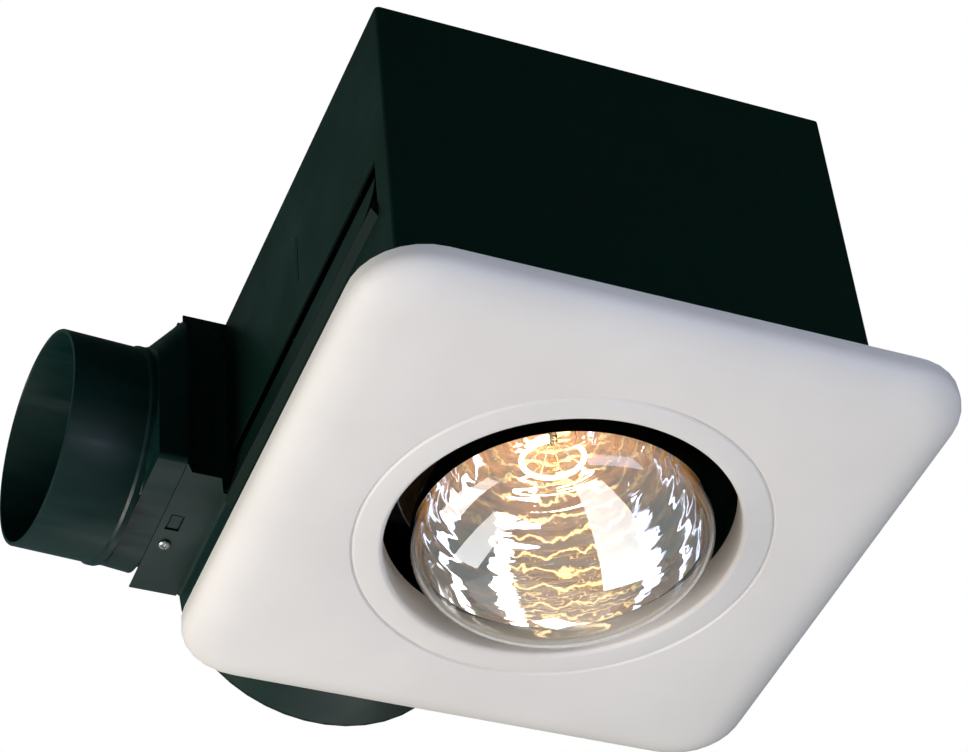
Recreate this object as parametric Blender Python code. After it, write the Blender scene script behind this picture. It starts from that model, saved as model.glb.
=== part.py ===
"""Bathroom ceiling heater: one infrared lamp in a square grille, with a level-axis blower beside it.

The ceiling plane is z = 0 and the lamp's axis is x = y = 0. The duct leaves towards -X, and the
blower sits behind the lamp's housing, on the +Y side. Everything above z = 0 is inside the ceiling.
"""

import math

import bmesh
import bpy
from mathutils import Euler, Matrix, Vector
from mathutils.geometry import tessellate_polygon

MM = 0.001

# Shared sizes
GAP = 0.3 * MM            # between two pieces that touch
OVERRUN = 3 * MM          # how far a cutter passes the faces it cuts
SHEET = 1.0 * MM          # housing steel
THIN_SHEET = 0.8 * MM     # blower steel
BEND = 2.0 * MM           # outer radius of a folded edge
BEND_STEPS = 3
SMOOTH_ANGLE = 35         # degrees; edges that fold by less are shaded smooth
ROUND_STEPS = 38          # facets round a large turned piece
MEDIUM_STEPS = 24         # facets round a turned piece of middling size
SMALL_STEPS = 18          # facets round a small turned piece
SCREW_STEPS = 12

# Grille
GRILLE_SIDE = 262 * MM
GRILLE_CORNER = 30 * MM
GRILLE_DEPTH = 15 * MM
GRILLE_SKIRT = 4 * MM
GRILLE_PILLOW = 20 * MM
GRILLE_WALL = 2 * MM
GRILLE_ALONG = 4          # points along each half side
GRILLE_AROUND = 6         # points round each corner
PILLOW_STEPS = 5
GROOVE_SPACING = 10.4 * MM   # from the lip's edge out to the groove
GROOVE_HALF = 0.9 * MM
GROOVE_DEPTH = 1.0 * MM
LIP_WIDTH = 2.4 * MM
LIP_DROP = 2 * MM
LIP_STEPS = 2
LAMP_GAP = 11.1 * MM      # between the lamp's widest ring and the opening
OPENING_TOP = 1 * MM
GRILLE_SPRING_INSET = 16.5 * MM   # from the housing's inner face
GRILLE_SPRING_WIDTH = 14 * MM
GRILLE_SPRING_FOOT = 9 * MM
GRILLE_SPRING_THICKNESS = 0.6 * MM
GRILLE_SPRING_RISE = 9 * MM
GRILLE_SPRING_PRESS = 24 * MM
GRILLE_SPRING_HEIGHT = 41 * MM
GRILLE_SPRING_BACK = 6 * MM

# Housing
HOUSING_WIDTH = 213 * MM
HOUSING_NEAR = -93 * MM
HOUSING_FAR = 110 * MM
HOUSING_BASE = 1.5 * MM
HOUSING_TOP = 184 * MM
FLANGE_WIDTH = 11 * MM
FLANGE_INSET = 20 * MM
CHANNEL_NEAR = -79.5 * MM
CHANNEL_FOOT = 67 * MM
CHANNEL_LIP = 71 * MM
CHANNEL_PROUD = 3 * MM
CHANNEL_TOP = 97 * MM
CHANNEL_SUNK = 7 * MM
CHANNEL_SLIT = 100 * MM
CHANNEL_STEPS = 5
CHANNEL_BOW = 1.5
CHANNEL_CLEARANCE = 1.2 * MM
BAR_SLOT_Y = 12 * MM
BAR_SLOT_BASE = 119 * MM
BAR_SLOT_TOP = 147 * MM
BAR_SLOT_WIDTH = 2.2 * MM
KNOCKOUT_RADIUS = 11 * MM
KNOCKOUT_GROOVE = 0.8 * MM
KNOCKOUT_DEPTH = 0.5 * MM
KNOCKOUT_Y = -68 * MM
KNOCKOUT_Z = 155 * MM
FAR_FLANGE = 12 * MM

# Blower: its spiral grows by a constant share for each turn of the wheel
WHEEL_X = -47 * MM
WHEEL_Z = 88 * MM
SPIRAL_START_RADIUS = 58.5 * MM
SPIRAL_GROWTH_SHARE = 0.105
TONGUE_ANGLE = 189
TOP_ANGLE = 450
SPIRAL_STEPS = 32
SCROLL_WIDTH = 76 * MM
PLATE_EDGE = 1.2 * MM
OUTLET_BASE = 78.3 * MM
OUTLET_END = -130 * MM
OUTLET_SIDE_END = -123 * MM
OUTLET_TOP = 176.5 * MM
TONGUE_BEND = 1.6 * MM
TONGUE_FOLD = 8           # degrees of the spiral that the fold takes up
FLOOR_NEAR = 102 * MM
FLOOR_TAB = 97 * MM
FLOOR_TAB_WIDTH = 3.5 * MM
FLOOR_CHAMFER_X = -112.7 * MM
FLOOR_CHAMFER_Y = 115 * MM
INLET_RADIUS = 49 * MM
INLET_THROAT = 42.5 * MM
INLET_DEPTH = 6.5 * MM
INLET_FLANGE = 6 * MM
INLET_STEPS = 3
PLATE_TAB = 4.5 * MM
PLATE_TAB_HEIGHT = 6 * MM
RIVET_X = -110.5 * MM
RIVET_Z = 175 * MM
RIVET_RADIUS = 2.6 * MM
RIVET_HEIGHT = 1.2 * MM
LATCH_INSET = 6.5 * MM
LATCH_Y = 137 * MM
LATCH_SIDE = (6.6 * MM, 10.6 * MM)
FIXING_SPACING = 15.3 * MM
CATCH_CLEARANCE = 1.1 * MM
CATCH_SUNK = 0.5 * MM

# Wheel
WHEEL_RADIUS = 52 * MM
BLADE_DEPTH = 8 * MM
WHEEL_NEAR_CLEARANCE = 8.5 * MM
WHEEL_LENGTH = 50 * MM
WHEEL_WALL = 1.2 * MM
WHEEL_BACK = 1.6 * MM
WHEEL_RING = 2.0 * MM
BLADES = 36
BLADE_LEAN = 11           # degrees that a blade's tip leads its root
BLADE_BOW = 1.7
BLADE_STEPS = 3
BLADE_THICKNESS = 1.0 * MM
HUB_RADIUS = 9 * MM
HUB_LENGTH = 18 * MM
CLIP_RADIUS = 5.5 * MM
CLIP_THICKNESS = 0.8 * MM
CLIP_OPENING = 70         # degrees

# Motor, measured from the wheel's axis
SHAFT_RADIUS = 3 * MM
SHAFT_NEAR = 58 * MM
SHAFT_TAIL = 4 * MM
STACK_NEAR = 72 * MM
STACK_LENGTH = 20 * MM
STACK_HALF = 24 * MM
STACK_HIGH = 42 * MM
STACK_LEG = 8 * MM
STACK_WINDOW_HALF = 15.5 * MM
STACK_WINDOW_BASE = 22 * MM
STACK_CORNER = 3 * MM
BORE_RADIUS = 16 * MM
AIR_GAP = 0.5 * MM
ROTOR_INSET = 0.5 * MM
COIL_BUILD = 7 * MM
COIL_HALF = 14.5 * MM
COIL_CORNER = 4 * MM
BRACKET_THICKNESS = 2.4 * MM
BRACKET_HALF = 5.5 * MM
BRACKET_FOOT = 15 * MM
BRACKET_KNEE = 12.5 * MM
BRACKET_RISE = 5.5 * MM
BEARING_RADIUS = 8 * MM
BEARING_LENGTH = 7 * MM
MOTOR_SCREW_X = 20.7 * MM
MOTOR_SCREW_RADIUS = 1.8 * MM
MOTOR_SCREW_HEAD = 3.2 * MM
MOTOR_SCREW_HEAD_HIGH = 2.2 * MM
CARRIER_THICKNESS = 1.2 * MM
CARRIER_RADIUS = 25 * MM
CARRIER_HOLE = 17.8 * MM
CARRIER_LEG = 14 * MM
CARRIER_TURN = -45        # degrees that the legs lean, past the coil
CARRIER_KNEE = 44 * MM
CARRIER_ANKLE = 51 * MM
CARRIER_REACH = 57 * MM

# Duct connector
COLLAR_RIM = Vector((-186.5 * MM, 146 * MM, 122 * MM))
COLLAR_TURN = 4.0         # degrees that the collar leans towards -Y
COLLAR_TILT = -1.15       # degrees that it leans down
COLLAR_RADIUS = 51 * MM
COLLAR_WALL = 2.0 * MM
COLLAR_LENGTH = 36.5 * MM
BEAD_HEIGHT = 1.2 * MM
BEAD_HALF = 2 * MM
RIM_ROUND = 0.6 * MM
CONNECTOR_WALL = 2.0 * MM
CONNECTOR_NEAR = 96 * MM
CONNECTOR_FAR = 200 * MM
CONNECTOR_TOP = 174.5 * MM
CONNECTOR_BODY = 12 * MM
CONNECTOR_LOWER_CORNER = 2.6 * MM
CONNECTOR_UPPER_CORNER = 21 * MM
NECK_LENGTH = 17 * MM
NECK_CORNER = 4 * MM
CONNECTOR_ALONG = 4
CONNECTOR_AROUND = 4
STOP_WIDTH = 4.5 * MM
STOP_FROM = 205           # degrees round the collar
STOP_TO = 335
STOP_LENGTH = 2.0 * MM
DAMPER_PIN_DROP = 6 * MM  # from the collar's inner wall down to the pin
DAMPER_PIN_RADIUS = 1.5 * MM
DAMPER_KNUCKLE = 2.8 * MM
DAMPER_KNUCKLE_HALF = 14 * MM
DAMPER_TOE = 3 * MM
DAMPER_INBOARD = 26 * MM
DAMPER_THICKNESS = 1.2 * MM
DAMPER_OPEN = 55
DAMPER_CLEARANCE = 2.4 * MM
DAMPER_STEPS = 12

# Lamp: a reflector bulb 127 mm across
LAMP_RADIUS = 63.5 * MM
LAMP_EQUATOR = -14 * MM
LAMP_DOME = 25 * MM
LAMP_NECK_RADIUS = 23 * MM
LAMP_NECK_TOP = 80 * MM
LAMP_NECK_LENGTH = 8 * MM
LAMP_COLLAR_RADIUS = 12 * MM
LAMP_COLLAR_BASE = 97.5 * MM
LAMP_GLASS_TOP = 104 * MM
LAMP_BACK_BOW = 1.5
LAMP_GLASS = 1.2 * MM
LAMP_DOME_STEPS = 6
LAMP_BACK_STEPS = 8
BASE_RADIUS = 13 * MM
BASE_LENGTH = 24 * MM
BASE_TAPER = 4 * MM
BASE_TAPER_RADIUS = 6 * MM
BASE_SHEET = 0.5 * MM
CONTACT_RADIUS = 4.6 * MM
CONTACT_HEIGHT = 2.2 * MM
STEM_RADIUS = 5 * MM
STEM_LENGTH = 44 * MM
STEM_FLARE = 9 * MM
FILAMENT_RADIUS = 13.5 * MM
FILAMENT_Z = 33 * MM
FILAMENT_WIRE = 0.9 * MM
FILAMENT_ARC = 290
FILAMENT_STEPS = 18
FILAMENT_ROOT_SHARE = 0.25

# Lampholder and the bar that carries it
HOLDER_RADIUS = 21 * MM
HOLDER_BASE = 97.5 * MM
HOLDER_SHELL_HOLE = 6 * MM
HOLDER_BORE = 16.2 * MM
HOLDER_SHELL_WALL = 0.6 * MM
HOLDER_SHELL_GAP = 0.9 * MM
HOLDER_CAVITY_TOP = 133 * MM
HOLDER_STEP = 3 * MM
HOLDER_CONTACT_WIDTH = 6 * MM
HOLDER_CONTACT_SHEET = 0.6 * MM
HOLDER_CONTACT_LENGTH = 9 * MM
BAR_LEAF = 34 * MM
BAR_SHEET = 1.2 * MM
BAR_TOP = 147 * MM
BAR_NOTCH_CLEARANCE = 2 * MM
HOLDER_SCREW_X = 13 * MM
HOLDER_SCREW_RADIUS = 1.8 * MM
HOLDER_SCREW_HEAD = 3.4 * MM
HOLDER_SCREW_LENGTH = 8 * MM
CUTOUT_X = -44 * MM
CUTOUT_Y = -6 * MM
CUTOUT_RADIUS = 8 * MM
CUTOUT_HEIGHT = 9 * MM
CUTOUT_FLANGE = 12 * MM
BAFFLE_RADIUS = 67 * MM
BAFFLE_BASE = 22 * MM
BAFFLE_TOP = 112 * MM
BAFFLE_FROM = 62
BAFFLE_TO = 168
BAFFLE_STEPS = 16
BAFFLE_SHEET = 0.6 * MM
BAFFLE_FOOT_X = 40 * MM
BAFFLE_FOOT = 12 * MM

# Wiring box in the corner near +X and -Y, under the housing's top
BOX_LENGTH = 74 * MM
BOX_DEPTH = 44 * MM
BOX_HEIGHT = 50 * MM
SOCKET_WIDTH = 16 * MM
SOCKET_HEIGHT = 12 * MM
SOCKET_DEPTH = 14 * MM
SOCKET_RIM = 2 * MM
SOCKET_SPACING = 26 * MM
SOCKET_DROP = 25 * MM
PLUG_LENGTH = 20 * MM
PLUG_CLEARANCE = 0.4 * MM
PLUG_CORNER = 1 * MM
LEAD_RADIUS = 2.2 * MM
LEAD_STRAIGHT = 6 * MM
LEAD_STEPS = 3
SMALL_SCREW_RADIUS = 1.7 * MM
SMALL_SCREW_HEAD = 2.9 * MM
SMALL_SCREW_HEAD_HIGH = 1.6 * MM
SMALL_SCREW_LENGTH = 7 * MM
EARTH_SCREW_INSET = 10.5 * MM
EARTH_SCREW_RISE = 8.3 * MM
MOTOR_LEAD_ROUTE = [
    (52 * MM, 0 * MM, 153 * MM),
    (30 * MM, 34 * MM, 154 * MM),
    (-20 * MM, 60 * MM, 150 * MM),
    (-44 * MM, 70 * MM, 142 * MM),
    (-47 * MM, 72 * MM, 138.5 * MM),
]
LAMP_LEAD_ROUTE = [
    (78 * MM, -14 * MM, 168 * MM),
    (30 * MM, -2 * MM, 164 * MM),
    (-30 * MM, -6 * MM, 166 * MM),
    (-44 * MM, -6 * MM, 162 * MM),
    (-44 * MM, -6 * MM, 157.5 * MM),
]

# Looks: colour, roughness, metallic
DARK_STEEL = ((0.010, 0.016, 0.014), 0.42, 0.0)
BLOWER_STEEL = ((0.016, 0.021, 0.020), 0.38, 0.0)
BLACK_PLASTIC = ((0.012, 0.014, 0.015), 0.35, 0.0)
PALE_PLASTIC = ((0.76, 0.72, 0.69), 0.55, 0.0)
ZINC = ((0.62, 0.62, 0.60), 0.35, 1.0)
SPRING_STEEL = ((0.50, 0.49, 0.47), 0.30, 1.0)
STACK_STEEL = ((0.20, 0.20, 0.21), 0.45, 1.0)
COPPER = ((0.55, 0.22, 0.10), 0.40, 1.0)
BRASS = ((0.70, 0.50, 0.22), 0.35, 1.0)
CLEAR_GLASS = ((0.95, 0.93, 0.88), 0.05, 0.0)
TUNGSTEN = ((1.0, 0.75, 0.40), 0.40, 1.0)
BLACK_GLASS = ((0.03, 0.03, 0.04), 0.15, 0.0)
PORCELAIN = ((0.82, 0.80, 0.76), 0.30, 0.0)
ALUMINIUM = ((0.78, 0.78, 0.78), 0.30, 1.0)
GREEN_SCREW = ((0.05, 0.25, 0.10), 0.40, 0.6)
PALE_NYLON = ((0.70, 0.68, 0.60), 0.50, 0.0)
LEAD_COVER = ((0.03, 0.03, 0.03), 0.55, 0.0)

# Places worked out from the sizes above
HALF_WIDTH = HOUSING_WIDTH / 2
INNER_HALF = HALF_WIDTH - SHEET
FAR_WALL_NEAR = HOUSING_FAR - SHEET
SCROLL_NEAR = HOUSING_FAR + GAP
SCROLL_FAR = SCROLL_NEAR + SCROLL_WIDTH
WHEEL_NEAR = SCROLL_NEAR + THIN_SHEET + WHEEL_NEAR_CLEARANCE
WHEEL_FAR = WHEEL_NEAR + WHEEL_LENGTH
STACK_FAR = STACK_NEAR + STACK_LENGTH
LAMP_AXIS = Vector((0, 0, 0))
OPENING_RADIUS = LAMP_RADIUS + LAMP_GAP
LIP_RADIUS = OPENING_RADIUS + LIP_WIDTH
GROOVE_RADIUS = LIP_RADIUS + GROOVE_SPACING
GRILLE_SPRING_X = INNER_HALF - GRILLE_SPRING_INSET
WHEEL_INNER = WHEEL_RADIUS - BLADE_DEPTH
DAMPER_PIN_HEIGHT = COLLAR_RADIUS - COLLAR_WALL - DAMPER_PIN_DROP
LATCH_X = OUTLET_END + LATCH_INSET
FIXING_X = LATCH_X
FIXING_Y = LATCH_Y + FIXING_SPACING


def clear_scene():
    for item in list(bpy.data.objects):
        bpy.data.objects.remove(item)


def finish(name, look):
    """A material of its own for one sub-part."""
    colour, roughness, metallic = look
    made = bpy.data.materials.new(name + "_finish")
    made.use_nodes = True
    shader = made.node_tree.nodes["Principled BSDF"]
    shader.inputs["Base Color"].default_value = (*colour, 1)
    shader.inputs["Roughness"].default_value = roughness
    shader.inputs["Metallic"].default_value = metallic
    made.diffuse_color = (*colour, 1)
    return made


def frame_at(name, place, turn=(0, 0, 0), parent=None):
    """An empty that carries the pieces of one assembly."""
    empty = bpy.data.objects.new(name, None)
    empty.location = place
    empty.rotation_euler = Euler([math.radians(angle) for angle in turn])
    empty.parent = parent
    bpy.context.scene.collection.objects.link(empty)
    return empty


def solid(name, shape, look=None, parent=None, place=(0, 0, 0), smooth=True):
    """An object from a bmesh. With no look it is a cutter, hidden from the render."""
    bmesh.ops.recalc_face_normals(shape, faces=shape.faces)
    mesh = bpy.data.meshes.new(name)
    shape.to_mesh(mesh)
    shape.free()
    made = bpy.data.objects.new(name, mesh)
    made.location = place
    made.parent = parent
    bpy.context.scene.collection.objects.link(made)
    if look is None:
        made.hide_render = True
        made.display_type = "WIRE"
        return made
    mesh.materials.append(finish(name, look))
    if smooth:
        mesh.shade_smooth()
        mesh.set_sharp_from_angle(angle=math.radians(SMOOTH_ANGLE))
    return made


def combine(target, other, operation):
    """A Boolean of two objects; the second one is only a helper from then on."""
    other.parent = target.parent
    other.hide_render = True
    other.display_type = "WIRE"
    step = target.modifiers.new(other.name, "BOOLEAN")
    step.object = other
    step.operation = operation
    step.solver = "EXACT"


def cut(target, shape, name):
    combine(target, solid(name, shape), "DIFFERENCE")


def weld_on(target, shape, name):
    combine(target, solid(name, shape), "UNION")


def arc(centre, radius, start, end, steps):
    """Points on a flat arc between two angles in degrees."""
    angles = [math.radians(start + (end - start) * i / steps) for i in range(steps + 1)]
    return [(centre[0] + radius * math.cos(a), centre[1] + radius * math.sin(a)) for a in angles]


def circle(centre, radius, steps):
    return arc(centre, radius, 0, 360, steps)[:-1]


def rectangle(low, high):
    return [(low[0], low[1]), (high[0], low[1]), (high[0], high[1]), (low[0], high[1])]


def filleted(corners, radius, steps, closed=True):
    """The outline with each corner rounded; an open outline keeps its two ends."""
    made = []
    count = len(corners)
    for i, corner in enumerate(corners):
        here = Vector(corner)
        if not closed and i in (0, count - 1):
            made.append(tuple(here))
            continue
        back = (Vector(corners[i - 1]) - here).normalized()
        ahead = (Vector(corners[(i + 1) % count]) - here).normalized()
        half = back.angle(ahead) / 2
        reach = radius / math.tan(half)
        centre = here + (back + ahead).normalized() * radius / math.sin(half)
        first = here + back * reach - centre
        last = here + ahead * reach - centre
        sweep = first.angle_signed(last)
        for step in range(steps + 1):
            spoke = first.copy()
            spoke.rotate(Matrix.Rotation(-sweep * step / steps, 2))
            made.append(tuple(centre + spoke))
    return made


def strip(path, thickness):
    """The outline of a sheet that follows a path, its thickness on the path's left."""
    points = [Vector(p) for p in path]
    other = []
    for i, here in enumerate(points):
        back = points[max(i - 1, 0)]
        ahead = points[min(i + 1, len(points) - 1)]
        before = (here - back).normalized() if i > 0 else (ahead - here).normalized()
        after = (ahead - here).normalized() if i < len(points) - 1 else before
        side = Vector((-before.y - after.y, before.x + after.x)).normalized()
        along = Vector((-before.y, before.x)).dot(side)
        other.append(tuple(here + side * thickness / along))
    return [tuple(p) for p in points] + other[::-1]


def prism(outline, low, high, along="Z", holes=()):
    """A flat outline, with holes if it has any, drawn out along one of the three axes."""
    place = {
        "X": lambda u, v, w: (w, u, v),
        "Y": lambda u, v, w: (u, w, v),
        "Z": lambda u, v, w: (u, v, w),
    }[along]
    loops = [list(outline)] + [list(hole) for hole in holes]
    flat = [point for loop in loops for point in loop]
    made = bmesh.new()
    ends = [[made.verts.new(place(u, v, w)) for u, v in flat] for w in (low, high)]
    for triangle in tessellate_polygon([[Vector((*p, 0)) for p in loop] for loop in loops]):
        for end in ends:
            made.faces.new([end[i] for i in triangle])
    start = 0
    for loop in loops:
        count = len(loop)
        for i in range(count):
            a, b = start + i, start + (i + 1) % count
            made.faces.new((ends[0][a], ends[0][b], ends[1][b], ends[1][a]))
        start += count
    return made


def block(low, high):
    return prism(rectangle(low[:2], high[:2]), low[2], high[2])


def loft(rings, closed=False):
    """Skins a row of rings with the same number of points; a closed row joins its last to its first."""
    made = bmesh.new()
    rows = [[made.verts.new(point) for point in ring] for ring in rings]
    pairs = list(zip(rows, rows[1:]))
    if closed:
        pairs.append((rows[-1], rows[0]))
    for one, two in pairs:
        for i in range(len(one)):
            j = (i + 1) % len(one)
            made.faces.new((one[i], one[j], two[j], two[i]))
    if not closed:
        made.faces.new(rows[0])
        made.faces.new(rows[-1])
    return made


def turned(profile, steps, along="Z", centre=(0, 0)):
    """Turns (radius, height) points about an axis. A profile that leaves the axis makes a ring."""
    place = {
        "X": lambda u, v, w: (w, u, v),
        "Y": lambda u, v, w: (u, w, v),
        "Z": lambda u, v, w: (u, v, w),
    }[along]
    made = bmesh.new()
    rows = []
    for radius, height in profile:
        ring = circle(centre, radius, steps) if radius > 0 else [centre]
        rows.append([made.verts.new(place(u, v, height)) for u, v in ring])
    for one, two in zip(rows, rows[1:] + rows[:1]):
        if len(one) == 1 and len(two) == 1:
            continue
        for i in range(steps):
            j = (i + 1) % steps
            corners = [one[i % len(one)], one[j % len(one)], two[j % len(two)], two[i % len(two)]]
            made.faces.new(dict.fromkeys(corners))
    return made


def cylinder(radius, low, high, steps, along="Z", centre=(0, 0)):
    return turned([(0, low), (radius, low), (radius, high), (0, high)], steps, along, centre)


def half_ring(half, corner, along, around):
    """The upper half of a rounded rectangle, from the middle of its +X side round to its -X side."""
    quarter = []
    straight = (half[0] - corner, half[1] - corner)
    quarter += [(half[0], straight[1] * i / along) for i in range(along)]
    quarter += arc(straight, corner, 0, 90, around)
    quarter += [(straight[0] * i / along, half[1]) for i in range(along - 1, 0, -1)]
    opposite = [(-u, v) for u, v in reversed(quarter[1:])]
    return quarter + [(0, half[1])] + opposite


def squared_ring(half, upper, lower, along, around):
    """A rectangle from its half sizes, with round corners of one radius above and another below."""
    above = half_ring(half, upper, along, around)
    below = half_ring(half, lower, along, around)
    return above + [(-half[0], 0)] + [(u, -v) for u, v in reversed(below[1:])]


def at_height(ring, height):
    return [(u, v, height) for u, v in ring]


# Grille


def grille_panel(parent):
    """The moulded cover: a soft edged square with a thin wall, open in the middle for the lamp."""
    half = GRILLE_SIDE / 2
    face = -GRILLE_DEPTH

    def square(inset, height):
        size = half - inset
        corner = GRILLE_CORNER - inset
        return at_height(squared_ring((size, size), corner, corner, GRILLE_ALONG, GRILLE_AROUND), height)

    count = len(square(0, 0))

    def round_ring(radius, height):
        return at_height(circle((0, 0), radius, count), height)

    def pillow(inset, rise):
        """The rounded edge between the skirt and the flat face."""
        rings = []
        for step in range(PILLOW_STEPS + 1):
            turn = math.pi / 2 * step / PILLOW_STEPS
            run = (GRILLE_PILLOW - inset) * (1 - math.cos(turn))
            drop = (GRILLE_DEPTH - GRILLE_SKIRT - rise) * math.sin(turn)
            rings.append(square(inset + run, -GRILLE_SKIRT - drop))
        return rings

    outside = [square(0, 0)] + pillow(0, 0)
    outside += [
        round_ring(GROOVE_RADIUS + GROOVE_HALF, face),
        round_ring(GROOVE_RADIUS, face + GROOVE_DEPTH),
        round_ring(GROOVE_RADIUS - GROOVE_HALF, face),
    ]
    for step in range(LIP_STEPS + 1):
        turn = math.pi / 2 * step / LIP_STEPS
        radius = LIP_RADIUS - LIP_WIDTH * math.sin(turn)
        outside.append(round_ring(radius, face + LIP_DROP * (1 - math.cos(turn))))
    outside.append(round_ring(OPENING_RADIUS, OPENING_TOP))
    inside = [
        round_ring(OPENING_RADIUS + GRILLE_WALL, OPENING_TOP),
        round_ring(OPENING_RADIUS + GRILLE_WALL, face + LIP_DROP + GRILLE_WALL),
        round_ring(LIP_RADIUS + GRILLE_WALL, face + GRILLE_WALL),
    ]
    inside += pillow(GRILLE_WALL, GRILLE_WALL)[::-1] + [square(GRILLE_WALL, 0)]
    return solid("grille_panel", loft(outside + inside, closed=True), PALE_PLASTIC, parent)


def grille_spring(name, side, parent):
    """A leaf that stands on the grille's back and presses against the housing's side wall."""
    foot = -GRILLE_DEPTH + GRILLE_WALL + GAP
    stem = GRILLE_SPRING_X + GRILLE_SPRING_FOOT
    wall = INNER_HALF - GAP
    path = [
        (GRILLE_SPRING_X, foot),
        (stem, foot),
        (stem, GRILLE_SPRING_RISE),
        (wall, GRILLE_SPRING_PRESS),
        (wall - GRILLE_SPRING_BACK, GRILLE_SPRING_HEIGHT),
    ]
    bent = filleted(path, BEND, BEND_STEPS, closed=False)
    outline = [(side * u, v) for u, v in strip(bent, GRILLE_SPRING_THICKNESS)]
    half = GRILLE_SPRING_WIDTH / 2
    return solid(name, prism(outline, -half, half, "Y"), SPRING_STEEL, parent)


# Housing


def channel_path():
    """The pressed channel in a side wall, from the wall's plane out over its lip and in again."""
    lip = HALF_WIDTH + CHANNEL_PROUD
    top = HALF_WIDTH - CHANNEL_SUNK
    path = [(HALF_WIDTH, CHANNEL_FOOT - BEND), (HALF_WIDTH, CHANNEL_FOOT)]
    for step in range(CHANNEL_STEPS + 1):
        share = step / CHANNEL_STEPS
        across = top + (lip - top) * (1 - share) ** CHANNEL_BOW
        path.append((across, CHANNEL_LIP + (CHANNEL_TOP - CHANNEL_LIP) * share))
    return path


def housing_shell(parent):
    """Folded steel box: two sides, near wall and top, open below and towards the blower."""
    bent = filleted(
        [
            (-HALF_WIDTH, HOUSING_FAR),
            (-HALF_WIDTH, HOUSING_NEAR),
            (HALF_WIDTH, HOUSING_NEAR),
            (HALF_WIDTH, HOUSING_FAR),
        ],
        BEND,
        BEND_STEPS,
        closed=False,
    )
    shell = solid("housing_shell", prism(bent, HOUSING_BASE, HOUSING_TOP), DARK_STEEL, parent)
    inside = block(
        (-INNER_HALF, HOUSING_NEAR + SHEET, HOUSING_BASE + SHEET),
        (INNER_HALF, HOUSING_FAR + OVERRUN, HOUSING_TOP - SHEET),
    )
    cut(shell, inside, "cut_inside")
    mouth = block(
        (-INNER_HALF, HOUSING_NEAR + FLANGE_WIDTH, HOUSING_BASE - OVERRUN),
        (INNER_HALF, HOUSING_FAR + OVERRUN * 2, HOUSING_BASE + SHEET * 2),
    )
    cut(shell, mouth, "cut_mouth")
    reach = CHANNEL_PROUD + OVERRUN
    channel_far = FAR_WALL_NEAR - GAP
    for side, hand in ((-1, "left"), (1, "right")):
        middle = side * (HALF_WIDTH + CHANNEL_PROUD)
        window = block(
            (middle - reach - SHEET, CHANNEL_NEAR, CHANNEL_FOOT),
            (middle + reach + SHEET, HOUSING_FAR + OVERRUN, CHANNEL_SLIT),
        )
        cut(shell, window, "cut_channel_" + hand)
        outline = [(side * u, v) for u, v in strip(channel_path(), SHEET)]
        weld_on(shell, prism(outline, CHANNEL_NEAR + GAP, channel_far, "Y"), "channel_" + hand)
        slot = block(
            (middle - reach - SHEET, BAR_SLOT_Y, BAR_SLOT_BASE),
            (middle + reach + SHEET, BAR_SLOT_Y + BAR_SLOT_WIDTH, BAR_SLOT_TOP),
        )
        cut(shell, slot, "cut_bar_slot_" + hand)
    cut(shell, knockout_groove(), "cut_knockout_groove")
    return shell


def knockout_groove():
    """The round line pressed into the right wall, inside which a disc breaks out for the house wires."""
    low = HALF_WIDTH - KNOCKOUT_DEPTH
    high = HALF_WIDTH + OVERRUN
    inner = KNOCKOUT_RADIUS - KNOCKOUT_GROOVE
    profile = [(inner, low), (KNOCKOUT_RADIUS, low), (KNOCKOUT_RADIUS, high), (inner, high)]
    return turned(profile, SMALL_STEPS, "X", (KNOCKOUT_Y, KNOCKOUT_Z))


def housing_far_wall(parent):
    """The wall between lamp and blower, set in between the side walls, with the air inlet in it."""
    edge = INNER_HALF - GAP
    sunk = HALF_WIDTH - CHANNEL_SUNK - SHEET - CHANNEL_CLEARANCE
    right = [
        (edge, HOUSING_BASE + SHEET),
        (edge, CHANNEL_FOOT - BEND * 2),
        (sunk, CHANNEL_FOOT + BEND * 2),
        (sunk, CHANNEL_SLIT),
        (edge, CHANNEL_SLIT + BEND * 2),
        (edge, HOUSING_TOP - SHEET - GAP),
    ]
    outline = right + [(-u, v) for u, v in reversed(right)]
    opening = circle((WHEEL_X, WHEEL_Z), INLET_RADIUS, ROUND_STEPS)
    wall = solid(
        "housing_far_wall",
        prism(outline, FAR_WALL_NEAR, HOUSING_FAR, "Y", [opening]),
        DARK_STEEL,
        parent,
    )
    flange = block(
        (-edge + FLANGE_INSET, HOUSING_FAR - FAR_FLANGE, HOUSING_BASE + SHEET),
        (edge - FLANGE_INSET, HOUSING_FAR - SHEET / 2, HOUSING_BASE + SHEET * 2),
    )
    weld_on(wall, flange, "far_wall_flange")
    return wall


# Blower


def spiral(offset, start, end, steps):
    """Points of the blower's spiral, moved out by an offset, between two angles in degrees."""
    points = []
    for i in range(steps + 1):
        angle = start + (end - start) * i / steps
        turn = math.radians(angle)
        radius = SPIRAL_START_RADIUS * math.exp(SPIRAL_GROWTH_SHARE * (turn - math.pi)) + offset
        points.append((WHEEL_X + radius * math.cos(turn), WHEEL_Z + radius * math.sin(turn)))
    return points


def scroll_outline(edge):
    """A side plate of the blower: the spiral and the flat side of the outlet."""
    outlet_base = OUTLET_BASE + THIN_SHEET + GAP
    around = spiral(edge, TONGUE_ANGLE, TOP_ANGLE, SPIRAL_STEPS)
    around[-1] = (around[-1][0], HOUSING_TOP)
    return around + [
        (OUTLET_SIDE_END, HOUSING_TOP),
        (OUTLET_SIDE_END, outlet_base),
        (around[0][0] - PLATE_EDGE, outlet_base),
    ]


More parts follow.
